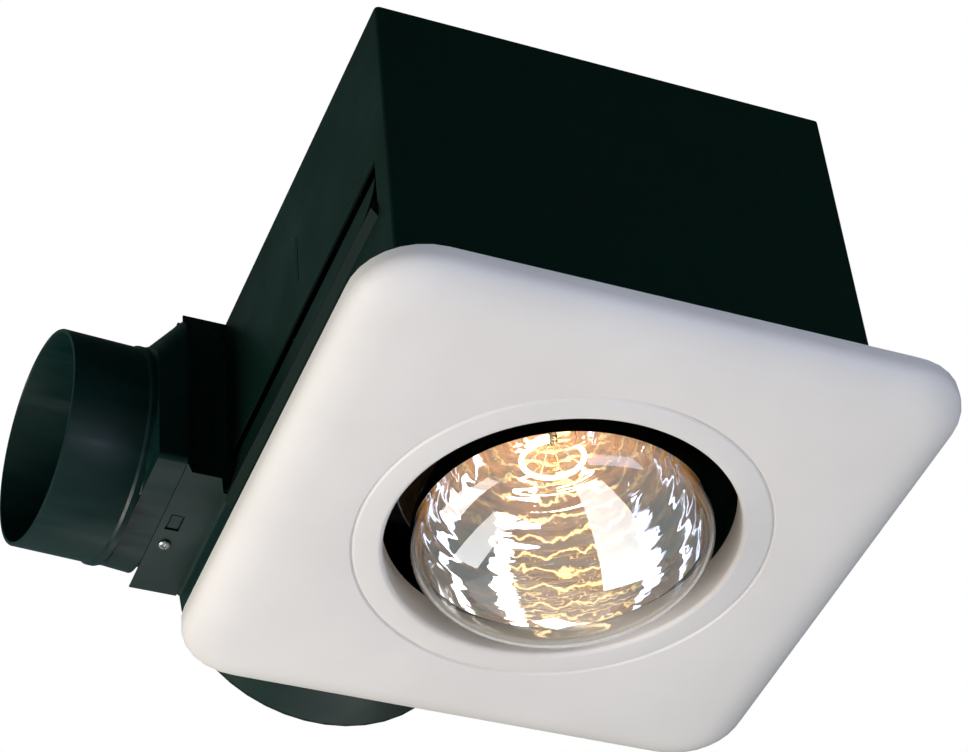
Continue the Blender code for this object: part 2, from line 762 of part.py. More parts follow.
def scroll_near_plate(parent):
    """The plate with the inlet, a tab at the top of its outlet side, and the rivet that holds the tab."""
    inlet = circle((WHEEL_X, WHEEL_Z), INLET_RADIUS, ROUND_STEPS)
    far = SCROLL_NEAR + THIN_SHEET
    plate = solid(
        "scroll_near_plate",
        prism(scroll_outline(0), SCROLL_NEAR, far, "Y", [inlet]),
        BLOWER_STEEL,
        parent,
    )
    tab = block(
        (OUTLET_SIDE_END - PLATE_TAB, SCROLL_NEAR, HOUSING_TOP - PLATE_TAB_HEIGHT),
        (OUTLET_SIDE_END + PLATE_TAB, far, HOUSING_TOP),
    )
    weld_on(plate, tab, "plate_tab")
    rivet = [
        (0, SCROLL_NEAR - RIVET_HEIGHT),
        (RIVET_RADIUS / 2, SCROLL_NEAR - RIVET_HEIGHT),
        (RIVET_RADIUS, SCROLL_NEAR - RIVET_HEIGHT / 2),
        (RIVET_RADIUS, SCROLL_NEAR + THIN_SHEET / 2),
        (0, SCROLL_NEAR + THIN_SHEET / 2),
    ]
    weld_on(plate, turned(rivet, SCREW_STEPS, "Y", (RIVET_X, RIVET_Z)), "plate_rivet")
    return plate


def scroll_far_plate(parent):
    shape = prism(scroll_outline(0), SCROLL_FAR - THIN_SHEET, SCROLL_FAR, "Y")
    return solid("scroll_far_plate", shape, BLOWER_STEEL, parent)


def scroll_wrap(parent):
    """One sheet: the outlet's floor, folded down at the tongue into the spiral, and the outlet's top."""
    fold = (spiral(0, TONGUE_ANGLE, TONGUE_ANGLE, 1)[0][0], OUTLET_BASE)
    around = spiral(0, TONGUE_ANGLE + TONGUE_FOLD, TOP_ANGLE, SPIRAL_STEPS)
    around[-1] = (around[-1][0], HOUSING_TOP)
    corner = [(OUTLET_END, OUTLET_BASE), fold, around[0]]
    floor = filleted(corner, TONGUE_BEND, BEND_STEPS, closed=False)[:-1]
    path = floor + around + [(OUTLET_SIDE_END, OUTLET_TOP)]
    low = SCROLL_NEAR + THIN_SHEET + GAP
    high = SCROLL_FAR - THIN_SHEET - GAP
    sheet = prism(strip(path, THIN_SHEET), low, high, "Y")
    wrap = solid("scroll_wrap", sheet, BLOWER_STEEL, parent)
    apron = [
        (OUTLET_END, FLOOR_TAB),
        (OUTLET_END + FLOOR_TAB_WIDTH, FLOOR_NEAR),
        (FLOOR_CHAMFER_X, FLOOR_NEAR),
        (fold[0] - TONGUE_BEND, FLOOR_CHAMFER_Y),
        (fold[0] - TONGUE_BEND, SCROLL_FAR),
        (OUTLET_END, SCROLL_FAR),
    ]
    weld_on(wrap, prism(apron, OUTLET_BASE, OUTLET_BASE + THIN_SHEET), "outlet_apron")
    window = block(
        (LATCH_X - LATCH_SIDE[0] / 2, LATCH_Y - LATCH_SIDE[1] / 2, OUTLET_BASE - OVERRUN),
        (LATCH_X + LATCH_SIDE[0] / 2, LATCH_Y + LATCH_SIDE[1] / 2, OUTLET_BASE + OVERRUN),
    )
    cut(wrap, window, "cut_latch_window")
    cut(wrap, fixing_hole(), "cut_floor_fixing")
    return wrap


def fixing_hole():
    """Clears the screw that holds the duct connector to the outlet's floor."""
    radius = SMALL_SCREW_RADIUS + GAP
    top = OUTLET_BASE + THIN_SHEET + CONNECTOR_WALL + OVERRUN
    return cylinder(radius, OUTLET_BASE - OVERRUN, top, SCREW_STEPS, centre=(FIXING_X, FIXING_Y))


def inlet_ring(parent):
    """A bell mouth that leads the air into the wheel."""
    start = SCROLL_NEAR + THIN_SHEET + GAP
    flare = []
    for step in range(INLET_STEPS + 1):
        turn = math.pi / 2 * step / INLET_STEPS
        radius = INLET_THROAT + (INLET_RADIUS - INLET_THROAT) * (1 - math.sin(turn))
        flare.append((radius, start + INLET_DEPTH * (1 - math.cos(turn))))
    path = [(INLET_RADIUS + INLET_FLANGE, start)] + flare
    shape = turned(strip(path, -THIN_SHEET), ROUND_STEPS, "Y", (WHEEL_X, WHEEL_Z))
    return solid("inlet_ring", shape, BLOWER_STEEL, parent)


def blade_outline(first):
    """One forward curved blade, from its root radius to its tip, starting at an angle."""
    path = []
    tip = WHEEL_RADIUS - GAP
    for step in range(BLADE_STEPS + 1):
        share = step / BLADE_STEPS
        radius = WHEEL_INNER + (tip - WHEEL_INNER) * share
        turn = math.radians(first + BLADE_LEAN * share ** BLADE_BOW)
        path.append((radius * math.cos(turn), radius * math.sin(turn)))
    return strip(path, BLADE_THICKNESS)


def together(shapes):
    """Several closed shapes in one."""
    made = bmesh.new()
    for shape in shapes:
        spare = bpy.data.meshes.new("spare")
        shape.to_mesh(spare)
        made.from_mesh(spare)
        bpy.data.meshes.remove(spare)
        shape.free()
    return made


def blower_wheel(parent):
    """Moulded wheel: a back plate with its hub, forward curved blades, a ring round their free ends."""
    bore = SHAFT_RADIUS + GAP
    hub_near = WHEEL_FAR - HUB_LENGTH
    plate = WHEEL_FAR - WHEEL_BACK
    back = [
        (bore, hub_near),
        (HUB_RADIUS, hub_near),
        (HUB_RADIUS, plate),
        (WHEEL_RADIUS, plate),
        (WHEEL_RADIUS, WHEEL_FAR),
        (bore, WHEEL_FAR),
    ]
    wheel = solid("blower_wheel", turned(back, ROUND_STEPS, "Y"), BLACK_PLASTIC, parent)
    blades = [
        prism(blade_outline(360 * i / BLADES), WHEEL_NEAR + WHEEL_WALL / 2, plate + WHEEL_BACK / 2, "Y")
        for i in range(BLADES)
    ]
    weld_on(wheel, together(blades), "wheel_blades")
    ring = [
        (WHEEL_RADIUS - WHEEL_RING, WHEEL_NEAR),
        (WHEEL_RADIUS, WHEEL_NEAR),
        (WHEEL_RADIUS, WHEEL_NEAR + WHEEL_RING),
        (WHEEL_RADIUS - WHEEL_RING, WHEEL_NEAR + WHEEL_RING),
    ]
    weld_on(wheel, turned(ring, ROUND_STEPS, "Y"), "wheel_ring")
    return wheel


def wheel_clip(parent):
    """Spring clip that keeps the wheel on its shaft."""
    start = WHEEL_FAR + GAP
    inner = SHAFT_RADIUS + GAP
    open_half = CLIP_OPENING / 2
    outer = arc((0, 0), CLIP_RADIUS, open_half, 360 - open_half, SMALL_STEPS)
    bore = arc((0, 0), inner, 360 - open_half, open_half, SMALL_STEPS)
    shape = prism(outer + bore, start, start + CLIP_THICKNESS, "Y")
    return solid("wheel_clip", shape, SPRING_STEEL, parent)


# Motor, in a frame on the wheel's axis


def motor_shaft(parent):
    shape = cylinder(SHAFT_RADIUS, SHAFT_NEAR, WHEEL_FAR + SHAFT_TAIL, SMALL_STEPS, "Y")
    return solid("motor_shaft", shape, SPRING_STEEL, parent)


def motor_rotor(parent):
    low = STACK_NEAR + ROTOR_INSET
    high = STACK_FAR - ROTOR_INSET
    inner = SHAFT_RADIUS + GAP
    outer = BORE_RADIUS - AIR_GAP
    profile = [(inner, low), (outer, low), (outer, high), (inner, high)]
    return solid("motor_rotor", turned(profile, ROUND_STEPS, "Y"), ALUMINIUM, parent)


def screw_holes():
    radius = MOTOR_SCREW_RADIUS + GAP
    return [circle((side * MOTOR_SCREW_X, 0), radius, SCREW_STEPS) for side in (-1, 1)]


def motor_stator(parent):
    """The laminated stack: a bore for the rotor, a window for the coil, two holes for the screws."""
    body = [
        (-STACK_HALF, -STACK_HALF),
        (STACK_HALF, -STACK_HALF),
        (STACK_HALF, STACK_HIGH),
        (-STACK_HALF, STACK_HIGH),
    ]
    window = rectangle(
        (-STACK_WINDOW_HALF, STACK_WINDOW_BASE),
        (STACK_WINDOW_HALF, STACK_HIGH - STACK_LEG),
    )
    holes = [circle((0, 0), BORE_RADIUS, ROUND_STEPS), window] + screw_holes()
    outline = filleted(body, STACK_CORNER, BEND_STEPS)
    return solid("motor_stator", prism(outline, STACK_NEAR, STACK_FAR, "Y", holes), STACK_STEEL, parent)


def motor_coil(parent):
    """The winding round the stack's upper leg."""
    leg = STACK_HIGH - STACK_LEG
    around = rectangle(
        (STACK_NEAR - COIL_BUILD, leg - COIL_BUILD),
        (STACK_FAR + COIL_BUILD, STACK_HIGH + COIL_BUILD),
    )
    outer = filleted(around, COIL_CORNER, BEND_STEPS)
    hole = rectangle((STACK_NEAR - GAP, leg - GAP), (STACK_FAR + GAP, STACK_HIGH + GAP))
    return solid("motor_coil", prism(outer, -COIL_HALF, COIL_HALF, "X", [hole]), COPPER, parent)


def motor_bracket(name, face, outward, parent):
    """A bearing bracket: two feet on the stack, a bridge over the rotor and a boss for the shaft."""
    top = face + outward * BRACKET_RISE
    reach = MOTOR_SCREW_X + MOTOR_SCREW_HEAD
    half = [(reach, face), (BRACKET_FOOT, face), (BRACKET_KNEE, top)]
    path = [(-u, v) for u, v in half] + half[::-1]
    bridge = prism(strip(path, outward * BRACKET_THICKNESS), -BRACKET_HALF, BRACKET_HALF)
    bracket = solid(name, bridge, ALUMINIUM, parent)
    boss_low, boss_high = sorted((top + outward * GAP, top + outward * BEARING_LENGTH))
    weld_on(bracket, cylinder(BEARING_RADIUS - GAP, boss_low, boss_high, SMALL_STEPS, "Y"), name + "_boss")
    low, high = face - STACK_LENGTH, face + STACK_LENGTH
    cut(bracket, cylinder(SHAFT_RADIUS + GAP, low, high, SMALL_STEPS, "Y"), name + "_bore")
    for side, hand in ((-1, "left"), (1, "right")):
        centre = (side * MOTOR_SCREW_X, 0)
        hole = cylinder(MOTOR_SCREW_RADIUS + GAP, low, high, SCREW_STEPS, "Y", centre)
        cut(bracket, hole, name + "_hole_" + hand)
    return bracket


def motor_carrier(parent):
    """A ring behind the motor with two folded legs that stand on the far wall, past the inlet's edge."""
    near = STACK_FAR + GAP * 2 + BRACKET_THICKNESS
    foot = FAR_WALL_NEAR - GAP - CARRIER_THICKNESS
    ring = circle((0, 0), CARRIER_RADIUS, ROUND_STEPS)
    hole = circle((0, 0), CARRIER_HOLE, MEDIUM_STEPS)
    shape = prism(ring, near, near + CARRIER_THICKNESS, "Y", [hole] + screw_holes())
    carrier = solid("motor_carrier", shape, BLOWER_STEEL, parent)
    for side, hand in ((-1, "lower"), (1, "upper")):
        path = [
            (near, side * (CARRIER_RADIUS - OVERRUN)),
            (near, side * CARRIER_KNEE),
            (foot, side * CARRIER_ANKLE),
            (foot, side * CARRIER_REACH),
        ]
        leg = prism(strip(path, -side * CARRIER_THICKNESS), -CARRIER_LEG / 2, CARRIER_LEG / 2, "X")
        turn = Matrix.Rotation(math.radians(CARRIER_TURN), 4, "Y")
        weld_on(carrier, moved(leg, turn), "carrier_leg_" + hand)
    return carrier


def motor_screw(name, side, parent):
    """A long screw through both brackets, the stack and the carrier."""
    head_far = STACK_NEAR - BRACKET_THICKNESS - GAP * 2
    far = STACK_FAR + BRACKET_THICKNESS + CARRIER_THICKNESS + GAP * 4 + OVERRUN
    profile = [
        (0, head_far - MOTOR_SCREW_HEAD_HIGH),
        (MOTOR_SCREW_HEAD, head_far - MOTOR_SCREW_HEAD_HIGH),
        (MOTOR_SCREW_HEAD, head_far),
        (MOTOR_SCREW_RADIUS, head_far),
        (MOTOR_SCREW_RADIUS, far),
        (0, far),
    ]
    shape = turned(profile, SCREW_STEPS, "Y", (side * MOTOR_SCREW_X, 0))
    return solid(name, shape, ZINC, parent)


# Duct connector

COLLAR_FRAME = Matrix.Translation(COLLAR_RIM) @ Euler(
    (0, math.radians(COLLAR_TILT), math.radians(COLLAR_TURN))
).to_matrix().to_4x4()


def moved(shape, matrix):
    bmesh.ops.transform(shape, matrix=matrix, verts=shape.verts)
    return shape


def duct_connector(parent):
    """Moulded piece: a neck inside the outlet, a square body, and a thin round collar for the duct."""

    def square(low, high, corners, across, inset):
        """A squared ring at one place across, between two (y, z) corners, moved in by a wall."""
        middle = ((low[0] + high[0]) / 2, (low[1] + high[1]) / 2)
        half = ((high[0] - low[0]) / 2 - inset, (high[1] - low[1]) / 2 - inset)
        upper, lower = (corner - inset for corner in corners)
        ring = squared_ring(half, upper, lower, CONNECTOR_ALONG, CONNECTOR_AROUND)
        return [(across, middle[0] + u, middle[1] + v) for u, v in ring]

    def round_ring(inboard, radius):
        """A ring of the collar, at a distance inboard of its rim."""
        return [COLLAR_FRAME @ Vector((inboard, u, v)) for u, v in circle((0, 0), radius, count)]

    side = THIN_SHEET + GAP
    neck_low = (SCROLL_NEAR + side, OUTLET_BASE + side)
    neck_high = (SCROLL_FAR - side, OUTLET_TOP - side)
    body_low = (CONNECTOR_NEAR, OUTLET_BASE)
    body_high = (CONNECTOR_FAR, CONNECTOR_TOP)
    start_high = (CONNECTOR_FAR, OUTLET_TOP)
    neck_corners = (NECK_CORNER, NECK_CORNER)
    body_corners = (CONNECTOR_UPPER_CORNER, CONNECTOR_LOWER_CORNER)
    count = len(square(neck_low, neck_high, neck_corners, 0, 0))
    start = OUTLET_END - GAP
    body_end = start - CONNECTOR_BODY
    neck_end = OUTLET_END + NECK_LENGTH
    shoulder = COLLAR_LENGTH + BEAD_HALF * 2
    wall = CONNECTOR_WALL
    inner_radius = COLLAR_RADIUS - COLLAR_WALL
    outside = [
        square(neck_low, neck_high, neck_corners, neck_end, 0),
        square(neck_low, neck_high, neck_corners, start, 0),
        square(body_low, start_high, body_corners, start, 0),
        square(body_low, body_high, body_corners, body_end, 0),
        round_ring(shoulder, COLLAR_RADIUS),
        round_ring(COLLAR_LENGTH + BEAD_HALF, COLLAR_RADIUS),
        round_ring(COLLAR_LENGTH, COLLAR_RADIUS + BEAD_HEIGHT),
        round_ring(COLLAR_LENGTH - BEAD_HALF, COLLAR_RADIUS),
        round_ring(RIM_ROUND, COLLAR_RADIUS),
        round_ring(0, COLLAR_RADIUS - RIM_ROUND),
    ]
    inside = [
        round_ring(0, inner_radius),
        round_ring(shoulder, inner_radius),
        square(body_low, body_high, body_corners, body_end + wall, wall),
        square(body_low, start_high, body_corners, start - wall, wall),
        square(neck_low, neck_high, neck_corners, start - wall, wall),
        square(neck_low, neck_high, neck_corners, neck_end, wall),
    ]
    connector = solid("duct_connector", loft(outside + inside, closed=True), BLACK_PLASTIC, parent)
    reach = (LATCH_SIDE[0] / 2 - CATCH_CLEARANCE, LATCH_SIDE[1] / 2 - CATCH_CLEARANCE)
    catch = block(
        (LATCH_X - reach[0], LATCH_Y - reach[1], OUTLET_BASE + CATCH_SUNK),
        (LATCH_X + reach[0], LATCH_Y + reach[1], neck_low[1] + wall / 2),
    )
    weld_on(connector, catch, "connector_catch")
    ledge_outer = arc((0, 0), inner_radius + COLLAR_WALL / 2, STOP_FROM, STOP_TO, SMALL_STEPS)
    ledge_inner = arc((0, 0), inner_radius - STOP_WIDTH, STOP_TO, STOP_FROM, SMALL_STEPS)
    ledge_near = DAMPER_INBOARD + DAMPER_THICKNESS / 2 + GAP
    ledge = prism(ledge_outer + ledge_inner, ledge_near, ledge_near + STOP_LENGTH, "X")
    weld_on(connector, moved(ledge, COLLAR_FRAME), "damper_stop")
    cut(connector, fixing_hole(), "cut_neck_fixing")
    return connector


def damper_half_width(drop):
    """How wide the flap may be at a drop below its pin, so that it clears the collar shut and open."""
    reach = COLLAR_RADIUS - COLLAR_WALL - DAMPER_CLEARANCE
    shut = abs(DAMPER_PIN_HEIGHT - drop)
    opened = abs(DAMPER_PIN_HEIGHT - drop * math.cos(math.radians(DAMPER_OPEN)))
    return math.sqrt(reach ** 2 - max(shut, opened) ** 2)


def damper_flap(parent):
    """The back-draught flap, narrower at its pin so that it can swing inside the round collar."""
    first = DAMPER_KNUCKLE - GAP
    last = DAMPER_PIN_HEIGHT + COLLAR_RADIUS - COLLAR_WALL - DAMPER_CLEARANCE - DAMPER_TOE
    drops = [first + (last - first) * i / DAMPER_STEPS for i in range(DAMPER_STEPS + 1)]
    right = [(damper_half_width(drop), -drop) for drop in drops]
    outline = right + [(-u, v) for u, v in reversed(right)]
    half = DAMPER_THICKNESS / 2
    flap = solid("damper_flap", prism(outline, -half, half, "X"), BLACK_PLASTIC, parent)
    length = DAMPER_KNUCKLE_HALF
    weld_on(flap, cylinder(DAMPER_KNUCKLE, -length, length, SMALL_STEPS, "Y"), "damper_knuckle")
    bore = cylinder(DAMPER_PIN_RADIUS + GAP, -length - OVERRUN, length + OVERRUN, SMALL_STEPS, "Y")
    cut(flap, bore, "cut_damper_bore")
    return flap


def damper_pin(parent):
    wall = COLLAR_RADIUS - COLLAR_WALL - GAP
    half = math.sqrt(wall ** 2 - (DAMPER_PIN_HEIGHT + DAMPER_PIN_RADIUS) ** 2)
    return solid("damper_pin", cylinder(DAMPER_PIN_RADIUS, -half, half, SMALL_STEPS, "Y"), ZINC, parent)


def small_screw(name, place, down, along, look, parent):
    """A short pan-head screw; its head lies on the given side of the place it is driven into."""
    head = [
        (0, down * SMALL_SCREW_HEAD_HIGH),
        (SMALL_SCREW_HEAD / 2, down * SMALL_SCREW_HEAD_HIGH),
        (SMALL_SCREW_HEAD, down * SMALL_SCREW_HEAD_HIGH / 2),
        (SMALL_SCREW_HEAD, 0),
        (SMALL_SCREW_RADIUS, 0),
        (SMALL_SCREW_RADIUS, -down * SMALL_SCREW_LENGTH),
        (0, -down * SMALL_SCREW_LENGTH),
    ]
    return solid(name, turned(head, SCREW_STEPS, along), look, parent, place)


# Lamp


def lamp_outline(inset):
    """The bulb's glass from its apex to its open neck, moved in by a wall."""
    points = []
    for step in range(LAMP_DOME_STEPS):
        turn = math.pi / 2 * step / LAMP_DOME_STEPS
        across = (LAMP_RADIUS - inset) * math.sin(turn)
        points.append((across, LAMP_EQUATOR - (LAMP_DOME - inset) * math.cos(turn)))
    length = LAMP_NECK_TOP - LAMP_EQUATOR
    for step in range(LAMP_BACK_STEPS + 1):
        share = step / LAMP_BACK_STEPS
        swell = max(math.cos(math.pi / 2 * share), 0) ** LAMP_BACK_BOW
        radius = LAMP_NECK_RADIUS + (LAMP_RADIUS - LAMP_NECK_RADIUS) * swell
        points.append((radius - inset, LAMP_EQUATOR + length * share))
    points.append((LAMP_NECK_RADIUS - inset, LAMP_NECK_TOP + LAMP_NECK_LENGTH))
    points.append((LAMP_COLLAR_RADIUS - inset, LAMP_COLLAR_BASE))
    points.append((LAMP_COLLAR_RADIUS - inset, LAMP_GLASS_TOP))
    return points


def lamp_envelope(parent):
    profile = lamp_outline(0) + lamp_outline(LAMP_GLASS)[::-1]
    return solid("lamp_envelope", turned(profile, ROUND_STEPS), CLEAR_GLASS, parent)


def lamp_stem(parent):
    """The glass post inside the bulb, flared where it is sealed into the neck."""
    top = LAMP_GLASS_TOP
    flare = LAMP_COLLAR_RADIUS - LAMP_GLASS - GAP
    profile = [
        (0, top - STEM_LENGTH),
        (STEM_RADIUS, top - STEM_LENGTH),
        (STEM_RADIUS, top - STEM_FLARE),
        (flare, top - GAP),
        (flare, top),
        (0, top),
    ]
    return solid("lamp_stem", turned(profile, SMALL_STEPS), CLEAR_GLASS, parent)


def wire(name, points, radius, look, parent, steps=1):
    """A round wire or lead along chosen points."""
    line = bpy.data.curves.new(name, "CURVE")
    line.dimensions = "3D"
    line.bevel_depth = radius
    line.bevel_resolution = 1
    line.use_fill_caps = True
    line.resolution_u = steps
    line.render_resolution_u = 0
    spline = line.splines.new("NURBS" if steps > 1 else "POLY")
    spline.points.add(len(points) - 1)
    for target, point in zip(spline.points, points):
        target.co = (*point, 1)
    if steps > 1:
        spline.order_u = 3
        spline.use_endpoint_u = True
    made = bpy.data.objects.new(name, line)
    made.parent = parent
    line.materials.append(finish(name, look))
    bpy.context.scene.collection.objects.link(made)
    return made


def lamp_filament(parent):
    """The coil's open ring and the two supports that run up to the stem."""
    start = -90 + (360 - FILAMENT_ARC) / 2
    ring = arc((0, 0), FILAMENT_RADIUS, start, start + FILAMENT_ARC, FILAMENT_STEPS)
    ends = [(u * FILAMENT_ROOT_SHARE, v * FILAMENT_ROOT_SHARE) for u, v in (ring[0], ring[-1])]
    top = LAMP_GLASS_TOP - STEM_LENGTH - GAP
    points = [(*ends[0], top)] + at_height(ring, FILAMENT_Z) + [(*ends[1], top)]
    return wire("lamp_filament", points, FILAMENT_WIRE, TUNGSTEN, parent)


def lamp_base_shell(parent):
    """The screw shell crimped round the bulb's neck, drawn in at its end."""
    low = LAMP_COLLAR_BASE + GAP
    high = low + BASE_LENGTH
    outside = [(BASE_RADIUS, low), (BASE_RADIUS, high - BASE_TAPER), (BASE_TAPER_RADIUS, high)]
    profile = strip(outside, BASE_SHEET)
    return solid("lamp_base_shell", turned(profile, MEDIUM_STEPS), BRASS, parent)


def lamp_base_insulator(parent):
    low = LAMP_COLLAR_BASE + BASE_LENGTH + GAP * 2
    high = low + CONTACT_HEIGHT
    profile = [(0, low), (BASE_TAPER_RADIUS, low), (CONTACT_RADIUS, high), (0, high)]
    return solid("lamp_base_insulator", turned(profile, SMALL_STEPS), BLACK_GLASS, parent)


def lamp_contact(parent):
    low = LAMP_COLLAR_BASE + BASE_LENGTH + CONTACT_HEIGHT + GAP * 3
    high = low + CONTACT_HEIGHT
    profile = [(0, low), (CONTACT_RADIUS, low), (CONTACT_RADIUS / 2, high), (0, high)]
    return solid("lamp_contact", turned(profile, SMALL_STEPS), BRASS, parent)


# Lampholder


def holder_screw_hole(top):
    """A pair of holes for the screws that hang the lampholder from its bar."""
    low = BAR_TOP - HOLDER_SCREW_LENGTH - GAP * 2
    radius = HOLDER_SCREW_RADIUS + GAP
    return together([
        cylinder(radius, low, top, SCREW_STEPS, centre=(side * HOLDER_SCREW_X, 0)) for side in (-1, 1)
    ])


def lampholder_body(parent):
    """Porcelain cup with a deep bore for the screw shell and a step up to its mounting face."""
    top = BAR_TOP - BAR_SHEET - GAP
    profile = [
        (HOLDER_BORE, HOLDER_BASE),
        (HOLDER_RADIUS, HOLDER_BASE),
        (HOLDER_RADIUS, HOLDER_CAVITY_TOP - HOLDER_STEP),
        (HOLDER_RADIUS - HOLDER_STEP, HOLDER_CAVITY_TOP),
        (HOLDER_RADIUS - HOLDER_STEP, top),
        (0, top),
        (0, HOLDER_CAVITY_TOP),
        (HOLDER_BORE, HOLDER_CAVITY_TOP),
    ]
    body = solid("lampholder_body", turned(profile, MEDIUM_STEPS), PORCELAIN, parent)
    cut(body, holder_screw_hole(top + OVERRUN), "cut_holder_screws")
    return body


def lampholder_shell(parent):
    """The brass screw shell inside the porcelain, with a flange under the cup's floor."""
    outer = BASE_RADIUS + HOLDER_SHELL_GAP + HOLDER_SHELL_WALL
    inner = outer - HOLDER_SHELL_WALL
    top = HOLDER_CAVITY_TOP - GAP
    profile = [
        (inner, HOLDER_BASE + HOLDER_STEP),
        (outer, HOLDER_BASE + HOLDER_STEP),
        (outer, top),
        (HOLDER_SHELL_HOLE, top),
        (HOLDER_SHELL_HOLE, top - HOLDER_SHELL_WALL),
        (inner, top - HOLDER_SHELL_WALL),
    ]
    return solid("lampholder_shell", turned(profile, MEDIUM_STEPS), BRASS, parent)


def lampholder_contact(parent):
    """A sprung tongue under the cup's floor that meets the lamp's centre contact."""
    top = HOLDER_CAVITY_TOP - GAP
    reach = HOLDER_CONTACT_LENGTH / 2
    low = LAMP_COLLAR_BASE + BASE_LENGTH + CONTACT_HEIGHT * 2 + GAP * 5 + HOLDER_CONTACT_SHEET
    path = [(reach, top), (-reach / 2, top), (-reach, (top + low) / 2), (reach / 2, low)]
    half = HOLDER_CONTACT_WIDTH / 2
    shape = prism(strip(path, HOLDER_CONTACT_SHEET), -half, half, "Y")
    return solid("lampholder_contact", shape, BRASS, parent)


def lampholder_bar(parent):
    """An angle across the housing; the ends of its upright leaf sit in slots in the side walls."""
    far = BAR_SLOT_Y + BAR_SLOT_WIDTH - GAP
    angle = [(far, BAR_SLOT_BASE + GAP), (far, BAR_TOP), (far - BAR_LEAF, BAR_TOP)]
    path = filleted(angle, BEND, BEND_STEPS, closed=False)
    sheet = prism(strip(path, BAR_SHEET), -HALF_WIDTH, HALF_WIDTH, "X")
    bar = solid("lampholder_bar", sheet, DARK_STEEL, parent)
    for side, hand in ((-1, "left"), (1, "right")):
        middle = side * (INNER_HALF - GAP + BAR_LEAF / 2)
        trim = block(
            (middle - BAR_LEAF / 2, far - BAR_LEAF * 2, BAR_SLOT_BASE - OVERRUN),
            (middle + BAR_LEAF / 2, far - BAR_SHEET - GAP, BAR_TOP + OVERRUN),
        )
        cut(bar, trim, "cut_bar_end_" + hand)
    half = HOLDER_RADIUS + BAR_NOTCH_CLEARANCE
    notch = block(
        (-half, far - BAR_SHEET * 2, BAR_SLOT_BASE - OVERRUN),
        (half, far + OVERRUN, BAR_TOP - BAR_SHEET - GAP),
    )
    cut(bar, notch, "cut_bar_notch")
    cut(bar, holder_screw_hole(BAR_TOP + OVERRUN), "cut_bar_screws")
    return bar


def lampholder_screw(name, side, parent):
    start = BAR_TOP + GAP
    profile = [
        (0, start - HOLDER_SCREW_LENGTH),
        (HOLDER_SCREW_RADIUS, start - HOLDER_SCREW_LENGTH),
        (HOLDER_SCREW_RADIUS, start),
        (HOLDER_SCREW_HEAD, start),
        (HOLDER_SCREW_HEAD / 2, start + HOLDER_SCREW_RADIUS),
        (0, start + HOLDER_SCREW_RADIUS),
    ]
    return solid(name, turned(profile, SCREW_STEPS), ZINC, parent, (side * HOLDER_SCREW_X, 0, 0))


def thermal_cutout(parent):
    """A disc thermostat that stands on the bar next to the lampholder."""
    low = BAR_TOP + GAP
    profile = [
        (0, low),
        (CUTOUT_FLANGE, low),
        (CUTOUT_FLANGE, low + THIN_SHEET),
        (CUTOUT_RADIUS, low + THIN_SHEET),
        (CUTOUT_RADIUS, low + CUTOUT_HEIGHT),
        (0, low + CUTOUT_HEIGHT),
    ]
    shape = turned(profile, SMALL_STEPS, centre=(CUTOUT_X, CUTOUT_Y))
    return solid("thermal_cutout", shape, BLACK_PLASTIC, parent)


def heat_baffle(parent):
    """A curved sheet between lamp and motor, with a foot on the far wall."""
    around = arc((0, 0), BAFFLE_RADIUS, BAFFLE_TO, BAFFLE_FROM, BAFFLE_STEPS)
    wall = FAR_WALL_NEAR - GAP - BAFFLE_SHEET
    leg = [(BAFFLE_FOOT_X, wall), (BAFFLE_FOOT_X + BAFFLE_FOOT, wall)]
    outline = strip(around + leg, BAFFLE_SHEET)
    return solid("heat_baffle", prism(outline, BAFFLE_BASE, BAFFLE_TOP), ALUMINIUM, parent)


# Wiring box

BOX_LEFT = INNER_HALF - BOX_LENGTH
BOX_NEAR = HOUSING_NEAR + SHEET + GAP
BOX_FAR = BOX_NEAR + BOX_DEPTH
BOX_CEILING = HOUSING_TOP - SHEET - GAP
BOX_FLOOR = BOX_CEILING - BOX_HEIGHT
SOCKET_MIDDLE = (BOX_LEFT + INNER_HALF) / 2
SOCKET_Z = BOX_CEILING - SOCKET_DROP
EARTH_SCREW_X = BOX_LEFT + EARTH_SCREW_INSET
EARTH_SCREW_Z = BOX_FLOOR + EARTH_SCREW_RISE


def socket_x(side):
    return SOCKET_MIDDLE + side * SOCKET_SPACING / 2


def wiring_cover(parent):
    """A folded cover that closes off the housing's corner, with windows for the two sockets."""
    right = INNER_HALF - GAP
    outer = block((BOX_LEFT, BOX_NEAR, BOX_FLOOR), (right, BOX_FAR, BOX_CEILING))
    cover = solid("wiring_cover", outer, DARK_STEEL, parent)
    hollow = block(
        (BOX_LEFT + SHEET, BOX_NEAR - OVERRUN, BOX_FLOOR + SHEET),
        (right + OVERRUN, BOX_FAR - SHEET, BOX_CEILING + OVERRUN),
    )
    cut(cover, hollow, "cut_cover_hollow")
    for side, hand in ((-1, "left"), (1, "right")):
        half = (SOCKET_WIDTH / 2 + GAP, SOCKET_HEIGHT / 2 + GAP)
        middle = socket_x(side)
        window = block(
            (middle - half[0], BOX_FAR - OVERRUN, SOCKET_Z - half[1]),
            (middle + half[0], BOX_FAR + OVERRUN, SOCKET_Z + half[1]),
        )
        cut(cover, window, "cut_socket_" + hand)
    earth = cylinder(
        SMALL_SCREW_RADIUS + GAP,
        BOX_FAR - OVERRUN,
        BOX_FAR + OVERRUN,
        SCREW_STEPS,
        "Y",
        (EARTH_SCREW_X, EARTH_SCREW_Z),
    )
    cut(cover, earth, "cut_earth_hole")
    return cover


